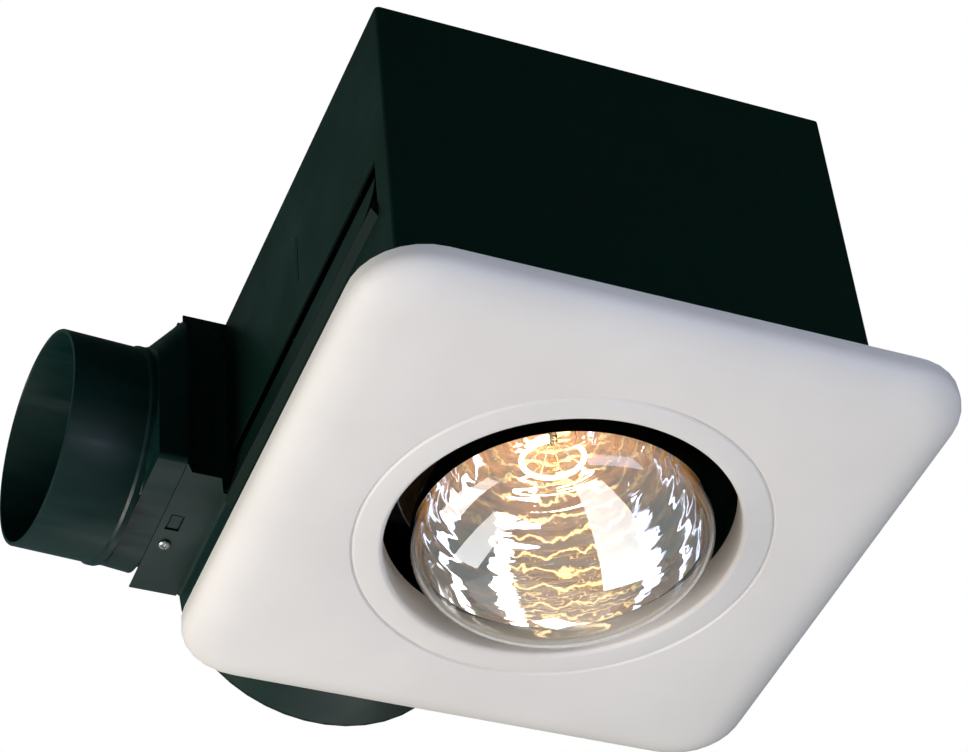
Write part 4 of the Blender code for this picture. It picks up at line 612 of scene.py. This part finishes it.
# %% Duct connector
connector_low, connector_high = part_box("duct_connector")
SHEET = 0.8 * MM
FIT = 0.3 * MM
OUTLET_END = -130 * MM
OUTLET_BASE = 78.3 * MM
OUTLET_WIDTH = 76 * MM
COLLAR_RIM = Vector((-186.5 * MM, 146 * MM, 122 * MM))
COLLAR_TURN = 4.0
COLLAR_TILT = -1.15
COLLAR_RADIUS = 51 * MM
COLLAR_LENGTH = 36.5 * MM
CONNECTOR_WALL = 2 * MM
BODY_LENGTH = 13.5 * MM
BODY_SLOPE = 11 * MM
SHOULDER_STEP = 0.9 * MM
BEAD_HALF = 1.2 * MM
BEAD_HEIGHT = 0.9 * MM
SHOULDER_LENGTH = 1.6 * MM
RIM_ROUND = 0.6 * MM
RIM_MIDDLE_SHARE = 0.3    # of the rim's round, at its middle
RIM_INNER_SHARE = 0.5
# The corners of a ring come in the order far upper, near upper, near lower, far lower.
NECK_CORNERS = (16 * MM, 4 * MM, 4 * MM, 18 * MM)
START_CORNERS = (36 * MM, 21 * MM, 2.6 * MM, 38 * MM)
BODY_CORNERS = (42 * MM, 36 * MM, 2.6 * MM, 41 * MM)
CATCH_X = -123.5 * MM
CATCH_Y = 137 * MM
CATCH_HALF = (2.2 * MM, 4.2 * MM)
CATCH_SUNK = 0.5 * MM
RIB_LOW = Vector((-129.8 * MM, 111.4 * MM, 174.0 * MM))
RIB_HIGH = Vector((-122.2 * MM, 113.0 * MM, 179.6 * MM))
SIDE_STEPS = 6
CORNER_STEPS = 16


def cornered_ring(low, high, corners, across, inset):
    """A ring across the connector between two (y, z) corners, with its own radius at each of its corners."""
    middle = ((low[0] + high[0]) / 2, (low[1] + high[1]) / 2)
    half = ((high[0] - low[0]) / 2 - inset, (high[1] - low[1]) / 2 - inset)
    ring = []
    for quarter, corner in enumerate(corners):
        wide, tall = half if quarter % 2 == 0 else half[::-1]
        radius = corner - inset
        straight = (wide - radius, tall - radius)
        points = [(wide, straight[1] * i / SIDE_STEPS) for i in range(SIDE_STEPS)]
        for i in range(CORNER_STEPS + 1):
            turn = math.pi / 2 * i / CORNER_STEPS
            points.append((straight[0] + radius * math.cos(turn), straight[1] + radius * math.sin(turn)))
        points += [(straight[0] * i / SIDE_STEPS, tall) for i in range(SIDE_STEPS - 1, 0, -1)]
        for u, v in points:
            for _ in range(quarter):
                u, v = -v, u
            ring.append((across, middle[0] + u, middle[1] + v))
    return ring


def block(low, high):
    """A plain bar between two corners."""
    made = bmesh.new()
    bmesh.ops.create_cube(made, size=1)
    size = Vector(high) - Vector(low)
    bmesh.ops.scale(made, verts=made.verts, vec=size)
    bmesh.ops.translate(made, verts=made.verts, vec=Vector(low) + size / 2)
    return made


def connector_mesh():
    """The moulding's rings from the neck's end out to the collar's rim and back inside."""
    turn = Euler((0, math.radians(COLLAR_TILT), math.radians(COLLAR_TURN))).to_matrix().to_4x4()
    place = Matrix.Translation(COLLAR_RIM) @ turn
    outlet_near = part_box("scroll_near_plate")[0].y
    neck_low = (outlet_near + SHEET + FIT, OUTLET_BASE + SHEET + FIT)
    neck_high = (outlet_near + OUTLET_WIDTH - SHEET - FIT, connector_high.z - SHEET - FIT)
    body_low = (connector_low.y, OUTLET_BASE)
    start_high = (connector_high.y, connector_high.z)
    body_high = (connector_high.y, connector_high.z - BODY_SLOPE)
    start = OUTLET_END - FIT
    body_end = start - BODY_LENGTH
    like = cornered_ring(body_low, body_high, BODY_CORNERS, body_end, 0)
    centre = place @ Vector((COLLAR_LENGTH, 0, 0))
    angles = [math.atan2(z - centre.z, y - centre.y) for _, y, z in like]

    def collar_ring(inboard, radius):
        return [place @ Vector((inboard, radius * math.cos(a), radius * math.sin(a))) for a in angles]

    shoulder = COLLAR_LENGTH + BEAD_HALF
    outside = [
        cornered_ring(neck_low, neck_high, NECK_CORNERS, connector_high.x, 0),
        cornered_ring(neck_low, neck_high, NECK_CORNERS, start, 0),
        cornered_ring(body_low, start_high, START_CORNERS, start, 0),
        like,
        collar_ring(shoulder + SHOULDER_LENGTH, COLLAR_RADIUS + SHOULDER_STEP),
        collar_ring(shoulder, COLLAR_RADIUS + SHOULDER_STEP),
        collar_ring(shoulder - FIT, COLLAR_RADIUS + BEAD_HEIGHT),
        collar_ring(COLLAR_LENGTH, COLLAR_RADIUS + BEAD_HEIGHT),
        collar_ring(COLLAR_LENGTH - BEAD_HALF, COLLAR_RADIUS),
        collar_ring(RIM_ROUND, COLLAR_RADIUS),
        collar_ring(RIM_ROUND * RIM_MIDDLE_SHARE, COLLAR_RADIUS - RIM_ROUND * RIM_MIDDLE_SHARE),
        collar_ring(0, COLLAR_RADIUS - RIM_ROUND),
    ]
    inner = COLLAR_RADIUS - CONNECTOR_WALL
    inside = [
        collar_ring(0, inner + RIM_ROUND * RIM_INNER_SHARE),
        collar_ring(RIM_ROUND, inner),
        collar_ring(shoulder, inner),
        cornered_ring(body_low, body_high, BODY_CORNERS, body_end + CONNECTOR_WALL, CONNECTOR_WALL),
        cornered_ring(body_low, start_high, START_CORNERS, start - CONNECTOR_WALL, CONNECTOR_WALL),
        cornered_ring(neck_low, neck_high, NECK_CORNERS, start - CONNECTOR_WALL, CONNECTOR_WALL),
        cornered_ring(neck_low, neck_high, NECK_CORNERS, connector_high.x, CONNECTOR_WALL),
    ]
    catch = block(
        (CATCH_X - CATCH_HALF[0], CATCH_Y - CATCH_HALF[1], OUTLET_BASE + CATCH_SUNK),
        (CATCH_X + CATCH_HALF[0], CATCH_Y + CATCH_HALF[1], neck_low[1] + CONNECTOR_WALL / 2),
    )
    return together([loft(outside + inside), catch, block(RIB_LOW, RIB_HIGH)])


moulding = connector_mesh()
connector = piece("connector_moulding", moulding, polypropylene, "housing", smooth=30)
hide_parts("duct_connector")
print("connector faces:", len(connector.data.polygons))

# %% [markdown]
# One pan head screw goes up through the outlet's floor into the connector's neck. Its head is turned with
# many fine steps, and then every point inside the cross is pushed in, as the punch does when the head is
# formed.

# %% Cross recess screw
HEAD_STEPS = 12
HEAD_SIDES = 64
CROSS_REACH_SHARE = 0.62
CROSS_HALF_SHARE = 0.15
CROSS_DEPTH = 0.9 * MM
HEAD_HEIGHT = 1.5 * MM
HEAD_DOME_SHARE = 0.8     # of the head's height, taken up by its dome
SHANK_SHARE = 0.55


def cross_screw(name):
    """The head looks down; the shank is a plain pin up to the top of the screw's own box."""
    low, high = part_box(name)
    radius = (high.x - low.x) / 2
    profile = []
    for step in range(HEAD_STEPS + 1):
        turn = math.pi / 2 * step / HEAD_STEPS
        rise = HEAD_HEIGHT * (1 - math.cos(turn)) * HEAD_DOME_SHARE
        profile.append((radius * math.sin(turn), low.z + rise))
    seat = low.z + HEAD_HEIGHT
    shank = radius * SHANK_SHARE
    profile += [(radius, seat), (shank, seat), (shank, high.z), (0, high.z)]
    shape = turned(profile, HEAD_SIDES)
    for corner in shape.verts:
        across, along = abs(corner.co.x), abs(corner.co.y)
        inside = max(across, along) < radius * CROSS_REACH_SHARE
        if corner.co.z < seat and inside and min(across, along) < radius * CROSS_HALF_SHARE:
            corner.co.z += CROSS_DEPTH
    bmesh.ops.translate(shape, verts=shape.verts, vec=((low.x + high.x) / 2, (low.y + high.y) / 2, 0))
    return shape


screw = piece("outlet_screw", cross_screw("connector_screw"), zinc, "housing", smooth=40)
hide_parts("connector_screw")
screw_low, screw_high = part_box("connector_screw")
print("screw head is", round(1000 * (screw_high.x - screw_low.x), 1), "mm across")

# %% [markdown]
# The grille is one injection moulding in off-white ABS. Its edge rolls over like a pillow, a fine groove
# runs round the opening, and the opening itself is a short tube with a soft lip. It is lofted as a row of
# rings from the rim at the ceiling, over the face and into the tube, and back again inside the wall.

# %% Grille mesh
grille_low, grille_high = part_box("grille_panel")
GRILLE_HALF = grille_high.x
GRILLE_FACE = grille_low.z
GRILLE_TUBE_TOP = grille_high.z
GRILLE_CORNER = 30 * MM
GRILLE_SKIRT = 4 * MM
GRILLE_PILLOW = 20 * MM
GRILLE_WALL = 2 * MM
GROOVE_RADIUS = 87.4 * MM
GROOVE_HALF = 0.9 * MM
GROOVE_DEPTH = 1.0 * MM
GROOVE_SHARES = ((1, 0.15), (0.5, 0.8), (0, 1), (-0.5, 0.8), (-1, 0.15))   # of its half width and its depth
LIP_RADIUS = 77 * MM
LIP_DROP = 2 * MM
OPENING_RADIUS = 74.6 * MM
EDGE_ROUND = 0.7 * MM
GRILLE_POINTS = 40        # points along and round each quarter of the square
PILLOW_STEPS = 14


def rounded_square(half, corner, height, points):
    """Points at even steps round a square with round corners, from the near end of its +X side."""
    straight = half - corner
    side = 2 * straight
    bend = corner * math.pi / 2
    ring = []
    for i in range(4 * points):
        quarter, share = divmod(i / points, 1)
        run = share * (side + bend) - straight
        if run <= straight:
            place = Vector((half, run, 0))
        else:
            turn = (run - straight) / corner
            place = Vector((straight + corner * math.cos(turn), straight + corner * math.sin(turn), 0))
        place.rotate(Euler((0, 0, quarter * math.pi / 2)))
        ring.append((place.x, place.y, height))
    return ring


def round_ring(like, radius, height):
    """A circle with one point in line with each point of another ring."""
    angles = [math.atan2(y, x) for x, y, _ in like]
    return [(radius * math.cos(a), radius * math.sin(a), height) for a in angles]


def pillow_rings(inset, rise):
    """The rounded edge between the skirt and the flat face."""
    rings = []
    for step in range(PILLOW_STEPS + 1):
        turn = math.pi / 2 * step / PILLOW_STEPS
        run = inset + (GRILLE_PILLOW - inset) * (1 - math.cos(turn))
        drop = (-GRILLE_FACE - GRILLE_SKIRT - rise) * math.sin(turn)
        height = -GRILLE_SKIRT - drop
        rings.append(rounded_square(GRILLE_HALF - run, GRILLE_CORNER - run, height, GRILLE_POINTS))
    return rings


def grille_mesh():
    """The grille's rings from its rim over the face and into the tube, and back inside its wall."""
    rim = rounded_square(GRILLE_HALF, GRILLE_CORNER, 0, GRILLE_POINTS)
    inner_rim = rounded_square(GRILLE_HALF - GRILLE_WALL, GRILLE_CORNER - GRILLE_WALL, 0, GRILLE_POINTS)
    face = GRILLE_FACE
    groove = [(GROOVE_RADIUS + GROOVE_HALF + EDGE_ROUND, face)]
    for across, deep in GROOVE_SHARES:
        groove.append((GROOVE_RADIUS + GROOVE_HALF * across, face + GROOVE_DEPTH * deep))
    groove.append((GROOVE_RADIUS - GROOVE_HALF - EDGE_ROUND, face))
    lip = []
    for step in range(PILLOW_STEPS + 1):
        turn = math.pi / 2 * step / PILLOW_STEPS
        across = OPENING_RADIUS + (LIP_RADIUS - OPENING_RADIUS) * (1 - math.sin(turn))
        lip.append((across, face + LIP_DROP * (1 - math.cos(turn))))
    opening = groove + [(LIP_RADIUS + EDGE_ROUND, face)] + lip + [(OPENING_RADIUS, GRILLE_TUBE_TOP)]
    back = [
        (OPENING_RADIUS + GRILLE_WALL, GRILLE_TUBE_TOP),
        (OPENING_RADIUS + GRILLE_WALL, face + LIP_DROP + GRILLE_WALL),
        (LIP_RADIUS + GRILLE_WALL, face + GRILLE_WALL),
    ]
    rings = [rim] + pillow_rings(0, 0)
    rings += [round_ring(rim, radius, height) for radius, height in opening + back]
    rings += pillow_rings(GRILLE_WALL, GRILLE_WALL)[::-1] + [inner_rim]
    return loft(rings)


print("grille opening is", round(2000 * OPENING_RADIUS, 1), "mm across")

# %% [markdown]
# The mould was textured by spark erosion, which leaves a fine even matt grain, finer than the eye
# resolves from a step away. It is drawn here at just under a millimetre, so that it shows as a soft tooth
# in the highlights along the rolled edge.

# %% Grille finish
SPARK_GRAIN = 0.8 * MM
SPARK_DEPTH = 0.035 * MM
GRAIN_ROUGHNESS = (0.46, 0.60)
SINK_SIZE = 60 * MM
SINK_DEPTH = 0.2 * MM
SINK_STRENGTH = 0.3


def textured_abs():
    """Off-white ABS: a fine even grain over slow waves, where the wall sank a little as it cooled."""
    material, tree, shader = new_finish("spark_textured_abs", "#E9E3DE", 0.52, IOR=1.53)
    drift = speckle(tree, SINK_SIZE, detail=3.0)
    colour = mixed(tree, between(tree, drift, 0.0, 1.0), "#EAE4DF", "#E3DDD8")
    tree.links.new(colour, shader.inputs["Base Color"])
    grain = speckle(tree, SPARK_GRAIN, detail=3.0)
    tree.links.new(between(tree, grain, *GRAIN_ROUGHNESS), shader.inputs["Roughness"])
    flow = bumpy(tree, shader, drift, SINK_DEPTH, SINK_STRENGTH)
    bumpy(tree, shader, grain, SPARK_DEPTH, 1.0, flow)
    return material


grille = piece("grille", grille_mesh(), textured_abs(), "grille")
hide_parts("grille_panel")
print("grille is", round(2000 * GRILLE_HALF), "mm square, with", len(grille.data.polygons), "faces")

# %% [markdown]
# The lamp is a reflector bulb 127 mm across. Its envelope is one blown shell of hard glass: a shallow
# dome in front, and a back that draws in like a funnel to the neck. It is turned from the same outline as
# its solid, with many more steps, and with an even wall.

# %% Lamp glass mesh
LAMP_RADIUS = 63.5 * MM
LAMP_EQUATOR = -14 * MM
LAMP_DOME = 25 * MM
LAMP_NECK_RADIUS = 23 * MM
LAMP_NECK_TOP = 80 * MM
LAMP_NECK_LENGTH = 8 * MM
LAMP_COLLAR_RADIUS = 12 * MM
LAMP_COLLAR_BASE = 97.5 * MM
LAMP_GLASS_TOP = 104 * MM
LAMP_BACK_BOW = 1.5
LAMP_GLASS = 1.2 * MM
DOME_STEPS = 28
BACK_STEPS = 40
LAMP_SIDES = 128
GLASS_WAVE = 22 * MM
GLASS_WAVE_DEPTH = 0.12 * MM
GLASS_WAVE_STRENGTH = 0.25


def back_point(share, inset):
    """A point of the bulb's funnel shaped back, at a share of its height and drawn in by an inset."""
    swell = max(math.cos(math.pi / 2 * share), 0) ** LAMP_BACK_BOW
    radius = LAMP_NECK_RADIUS + (LAMP_RADIUS - LAMP_NECK_RADIUS) * swell
    return (radius - inset, LAMP_EQUATOR + (LAMP_NECK_TOP - LAMP_EQUATOR) * share)


def lamp_outline(inset):
    """The bulb's outline from its apex up to its sealed neck."""
    points = []
    for step in range(DOME_STEPS):
        turn = math.pi / 2 * step / DOME_STEPS
        across = (LAMP_RADIUS - inset) * math.sin(turn)
        points.append((across, LAMP_EQUATOR - (LAMP_DOME - inset) * math.cos(turn)))
    points += [back_point(step / BACK_STEPS, inset) for step in range(BACK_STEPS + 1)]
    points.append((LAMP_NECK_RADIUS - inset, LAMP_NECK_TOP + LAMP_NECK_LENGTH))
    points.append((LAMP_COLLAR_RADIUS - inset, LAMP_COLLAR_BASE))
    points.append((LAMP_COLLAR_RADIUS - inset, LAMP_GLASS_TOP))
    return points


def clear_hard_glass():
    """Blown borosilicate glass: clear, a trace warm, with the slow waves that blowing leaves."""
    material, tree, shader = new_finish("blown_hard_glass", "#FFFDF8", 0.0, IOR=1.47, Transmission_Weight=1.0)
    waves = speckle(tree, GLASS_WAVE, detail=1.0)
    bumpy(tree, shader, waves, GLASS_WAVE_DEPTH, GLASS_WAVE_STRENGTH)
    return material


hard_glass = clear_hard_glass()
glass_profile = lamp_outline(0) + lamp_outline(LAMP_GLASS)[::-1]
envelope = turned(glass_profile, LAMP_SIDES)
lamp_glass = piece("lamp_glass", envelope, hard_glass, "lamp", smooth=60)
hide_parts("lamp_envelope")
print("lamp is", round(2000 * LAMP_RADIUS), "mm across; glass faces:", len(lamp_glass.data.polygons))

# %% [markdown]
# The back of the bulb is a mirror: aluminium boiled off a hot wire in vacuum, so thin that it takes every
# wave of the glass under it. Those waves are what makes the reflections in such a lamp ragged. They are
# modelled as real dents in the mirror, rings that wander as they go round, with a finer ripple in the
# surface's slope. The filament's reflections are painted on as well: a warm glow near the filament, and
# amber bands on the waves where the mirror faces the eye.

# %% Lamp mirror
MIRROR_GAP = 0.1 * MM
MIRROR_WALL = 0.1 * MM
MIRROR_START_SHARE = 0.05
MIRROR_STEPS = 180        # so many that the finest wave has seven points
MIRROR_ROUGHNESS = 0.03
RIPPLE_RINGS = 11
RIPPLE_HEIGHT = 0.13 * MM
RIPPLE_START_SHARE = 0.08     # of the back's height, where the waves begin
RIPPLE_GROWTH = 5
WANDER = 1.1              # how far a ring strays to and fro on its way round
WANDER_LOBES = 3
WANDER_START = 1.0
SMALL_WANDER_SHARE = 0.6
SMALL_WANDER_LOBES = 7
SMALL_WANDER_TWIST = 9
FINE_SHARE = 0.2          # height of the finer waves, as a share of the main ones
FINE_RINGS = 2.3          # finer waves in each main one
FINE_WANDER = -1.7
FINE_LOBES = 4
RIPPLE_ROOM = 1.4         # how far the mirror is drawn in, in heights of its waves
PAINTED_STREAK_SIZE = 6 * MM
PAINTED_STREAK_STRETCH = (1, 1, 0.35)
PAINTED_STREAK_RANGE = (0.35, 1.5)
PAINTED_GLOW_LOW = 20 * MM
PAINTED_GLOW_HIGH = 66 * MM
PAINTED_GLOW_STRENGTH = 0.8
PAINTED_REFLECTION_WHOLE = 0.07       # share by which the mirror turns from the eye where the painted reflection starts to fade
PAINTED_REFLECTION_NONE = 0.15
PAINTED_LOOP_SPACING = 7 * MM
PAINTED_LOOP_WANDER = 14.0
PAINTED_LOOP_DRIFT = 10 * MM
PAINTED_LOOP_EDGE = 0.7           # height on the wave above which a painted loop of reflected light shows
PAINTED_LOOP_DIM = 0.22
PAINTED_LOOP_BRIGHT = 1.6
SLOPE_SIZE = 9 * MM
SLOPE_STRETCH = (1, 1, 0.5)
SLOPE_DEPTH = 0.15 * MM
SLOPE_STRENGTH = 0.12


def mirror_profile(inset):
    """The bulb's back with many steps, from a little above its widest ring to its neck."""
    points = []
    for step in range(MIRROR_STEPS + 1):
        share = MIRROR_START_SHARE + (1 - MIRROR_START_SHARE) * step / MIRROR_STEPS
        points.append(back_point(share, inset))
    return points


def ripple(height, angle):
    """How far the mirror is dented at a height and an angle round the axis."""
    share = (height - LAMP_EQUATOR) / (LAMP_NECK_TOP - LAMP_EQUATOR)
    small = SMALL_WANDER_SHARE * math.sin(SMALL_WANDER_LOBES * angle + SMALL_WANDER_TWIST * share)
    wander = WANDER * (math.sin(WANDER_LOBES * angle + WANDER_START) + small)
    run = math.tau * RIPPLE_RINGS * share
    wave = math.sin(run + wander)
    wave += FINE_SHARE * math.sin(run * FINE_RINGS + FINE_WANDER * wander + FINE_LOBES * angle)
    fade = min(max((share - RIPPLE_START_SHARE) * RIPPLE_GROWTH, 0), 1)
    return RIPPLE_HEIGHT * wave * fade


def mirror_mesh():
    """A thin shell just inside the glass, dented, and drawn in so that no wave touches the glass."""
    near = mirror_profile(LAMP_GLASS + MIRROR_GAP)
    far = mirror_profile(LAMP_GLASS + MIRROR_GAP + MIRROR_WALL)
    shape = turned(near + far[::-1], LAMP_SIDES)
    for corner in shape.verts:
        radius = math.hypot(corner.co.x, corner.co.y)
        dent = ripple(corner.co.z, math.atan2(corner.co.y, corner.co.x)) - RIPPLE_HEIGHT * RIPPLE_ROOM
        corner.co.x *= (radius + dent) / radius
        corner.co.y *= (radius + dent) / radius
    return shape


def vapour_mirror():
    """Aluminium on glass, with painted reflections of the filament: a warm glow near it, growing towards the
    neck, and amber bands on its waves where it faces the eye.
    """
    material, tree, shader = new_finish("vapour_deposited_aluminium_with_painted_glow", "#E1E3E7", MIRROR_ROUGHNESS, 1.0)
    place = node(tree, "TexCoord").outputs["Object"]
    height = node(tree, "SeparateXYZ", {0: place}).outputs["Z"]
    # Painted reflection: the mirror glows warm near the filament and shows amber bands where it faces the
    # eye, in place of the filament's light reflected in it.
    near = between(tree, height, 0.0, 1.0, PAINTED_GLOW_LOW, PAINTED_GLOW_HIGH)
    painted_glow_streaks = between(tree, speckle(tree, PAINTED_STREAK_SIZE, PAINTED_STREAK_STRETCH, 4.0), *PAINTED_STREAK_RANGE)
    warm = node(tree, "Math", {0: near, 1: PAINTED_GLOW_STRENGTH}, operation="MULTIPLY").outputs[0]
    glow = node(tree, "Math", {0: warm, 1: painted_glow_streaks}, operation="MULTIPLY").outputs[0]
    turned_away = node(tree, "LayerWeight", {"Blend": 0.5}).outputs["Facing"]
    painted_reflection_share = between(tree, turned_away, 1.0, 0.0, PAINTED_REFLECTION_WHOLE, PAINTED_REFLECTION_NONE)
    drift = speckle(tree, PAINTED_LOOP_DRIFT, detail=3.0)
    wander = node(tree, "Math", {0: drift, 1: PAINTED_LOOP_WANDER}, operation="MULTIPLY").outputs[0]
    along = node(tree, "Math", {0: height, 1: math.tau / PAINTED_LOOP_SPACING, 2: wander}, operation="MULTIPLY_ADD")
    wave = node(tree, "Math", {0: along.outputs[0]}, operation="SINE").outputs[0]
    painted_loops = between(tree, wave, 0.0, 1.0, PAINTED_LOOP_EDGE, 1.0)
    bright = between(tree, painted_loops, PAINTED_LOOP_DIM, PAINTED_LOOP_BRIGHT, 0.0, 1.0)
    painted_reflection_strength = node(tree, "Math", {0: bright, 1: painted_reflection_share, 2: glow}, operation="MULTIPLY_ADD").outputs[0]
    tree.links.new(mixed(tree, painted_loops, "#C47B32", "#FFDA90"), shader.inputs["Emission Color"])
    tree.links.new(painted_reflection_strength, shader.inputs["Emission Strength"])
    slope = speckle(tree, SLOPE_SIZE, SLOPE_STRETCH)
    bumpy(tree, shader, slope, SLOPE_DEPTH, SLOPE_STRENGTH)
    return material


mirror = piece("lamp_mirror", mirror_mesh(), vapour_mirror(), "lamp", smooth=60)
print("mirror faces:", len(mirror.data.polygons))

# %% [markdown]
# The filament is tungsten wire wound into a fine coil, hung as an open ring from a glass stem by thin
# nickel hooks. It glows white with a yellow edge. Two nickel leads bring the current down the stem.
# The coil here is a real helix along the ring, thick enough to read as the bright cord that it looks like
# when lit.

# %% Filament, hooks and stem
FILAMENT_RING = 13.5 * MM
FILAMENT_HEIGHT = 33 * MM
FILAMENT_ARC = 300        # degrees of the ring that the coil takes up
FILAMENT_GAP_AT = -90     # degrees; the ring is open on its near side
FILAMENT_GLOW = 60
COIL_RADIUS = 0.85 * MM
COIL_PITCH = 0.9 * MM
COIL_WIRE = 0.30 * MM
COIL_STEPS = 12           # points in each turn of the coil
COIL_SIDES = 5
HOOK_WIRE = 0.28 * MM
HOOKS = 7
HOOK_SIDES = 6
HOOK_BEND_SHARE = 0.75    # of the way out to the ring, where a hook bends down
HOOK_RISE = 3 * MM
LEAD_WIRE = 0.5 * MM
LEAD_SIDES = 8
LEAD_FOOT_SHARES = (0.35, 0.25)
LEAD_KNEE_SHARE = 0.9
LEAD_KNEE_RISE = 8 * MM
BUTTON_RADIUS = 3.2 * MM
BUTTON_BASE = 44 * MM
BUTTON_SHARES = ((0.7, 0.125), (1, 0.5), (0.8, 1))   # of its radius, out and up
BUTTON_FILLET_SHARE = 1.4
ROD_RADIUS = 1.6 * MM
ROD_FILLET = 2 * MM
STEM_RADIUS = 5 * MM
STEM_BASE = 60 * MM
STEM_FOOT_SHARE = 0.8
STEM_SHOULDER = 3 * MM
STEM_CLEARANCE = 0.3 * MM
STEM_SIDES = 32
FLARE_LENGTH = 9 * MM


def filament_line(share):
    """The middle of the coil at a share of its length."""
    turn = math.radians(FILAMENT_GAP_AT + (360 - FILAMENT_ARC) / 2 + FILAMENT_ARC * share)
    return Vector((FILAMENT_RING * math.cos(turn), FILAMENT_RING * math.sin(turn), FILAMENT_HEIGHT))


def filament_mesh():
    """The coil itself: a helix round the middle line, as one unbroken wire."""
    length = math.radians(FILAMENT_ARC) * FILAMENT_RING
    turns = int(length / COIL_PITCH)
    points = []
    for i in range(turns * COIL_STEPS + 1):
        share = i / (turns * COIL_STEPS)
        middle = filament_line(share)
        out = Vector((middle.x, middle.y, 0)).normalized()
        turn = math.tau * i / COIL_STEPS
        points.append(middle + (out * math.cos(turn) + Vector((0, 0, 1)) * math.sin(turn)) * COIL_RADIUS)
    return tube(points, COIL_WIRE, COIL_SIDES)


def glowing_tungsten():
    """Tungsten wire at working heat."""
    material, tree, shader = new_finish("glowing_tungsten", "#8A8886", 0.4, 1.0)
    shader.inputs["Emission Color"].default_value = linear("#FFD9A0")
    shader.inputs["Emission Strength"].default_value = FILAMENT_GLOW
    return material


def hook_mesh():
    """Hooks that fan out from the glass button and hold the coil up."""
    wires = []
    for i in range(HOOKS):
        end = filament_line((i + 0.5) / HOOKS)
        start = Vector((0, 0, BUTTON_BASE + BUTTON_RADIUS))
        bend = Vector((end.x * HOOK_BEND_SHARE, end.y * HOOK_BEND_SHARE, FILAMENT_HEIGHT + HOOK_RISE))
        wires.append(tube([start, bend, end + Vector((0, 0, COIL_RADIUS))], HOOK_WIRE, HOOK_SIDES))
    return together(wires)


def lead_mesh():
    """Two wires from the stem's foot down to the two ends of the coil."""
    wires = []
    for share in (0, 1):
        end = filament_line(share)
        foot = Vector((end.x * LEAD_FOOT_SHARES[0], end.y * LEAD_FOOT_SHARES[1], STEM_BASE))
        knee = Vector((end.x, end.y * LEAD_KNEE_SHARE, FILAMENT_HEIGHT + LEAD_KNEE_RISE))
        wires.append(tube([foot, knee, end], LEAD_WIRE, LEAD_SIDES))
    return together(wires)


def stem_mesh():
    """The glass button, its rod, the stem and the flare that is sealed into the neck, from the bottom up."""
    top = LAMP_GLASS_TOP
    flare = LAMP_COLLAR_RADIUS - LAMP_GLASS - STEM_CLEARANCE
    profile = [(0, BUTTON_BASE)]
    profile += [(BUTTON_RADIUS * out, BUTTON_BASE + BUTTON_RADIUS * up) for out, up in BUTTON_SHARES]
    profile += [
        (ROD_RADIUS, BUTTON_BASE + BUTTON_RADIUS * BUTTON_FILLET_SHARE),
        (ROD_RADIUS, STEM_BASE - ROD_FILLET),
        (STEM_RADIUS * STEM_FOOT_SHARE, STEM_BASE),
        (STEM_RADIUS, STEM_BASE + STEM_SHOULDER),
        (STEM_RADIUS, top - FLARE_LENGTH),
        (flare, top - STEM_CLEARANCE),
        (flare, top),
        (0, top),
    ]
    return turned(profile, STEM_SIDES)


tungsten = glowing_tungsten()
nickel = plain_metal("nickel_lead_wire", "#B9B4A8", 0.3, PLATE_CLOUD)
filament = piece("lamp_coil", filament_mesh(), tungsten, "lamp", smooth=60)
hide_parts("lamp_filament")
hooks = piece("lamp_hooks", hook_mesh(), nickel, "lamp", smooth=60)
leads = piece("lamp_lead_wires", lead_mesh(), nickel, "lamp", smooth=60)
stem = piece("lamp_glass_stem", stem_mesh(), hard_glass, "lamp", smooth=60)
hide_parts("lamp_stem")
print("coil turns:", int(math.radians(FILAMENT_ARC) * FILAMENT_RING / COIL_PITCH))

# %% [markdown]
# The cards may only show in the lamp: on the black parts they would leave broad grey sheens. So each card
# is linked to the lamp's own pieces.

# %% Cards for the lamp alone
lamp_pieces = bpy.data.collections.new("lamp_pieces")
for item in (lamp_glass, mirror, filament, hooks, leads, stem):
    lamp_pieces.objects.link(item)
for item in cards:
    item.light_linking.receiver_collection = lamp_pieces
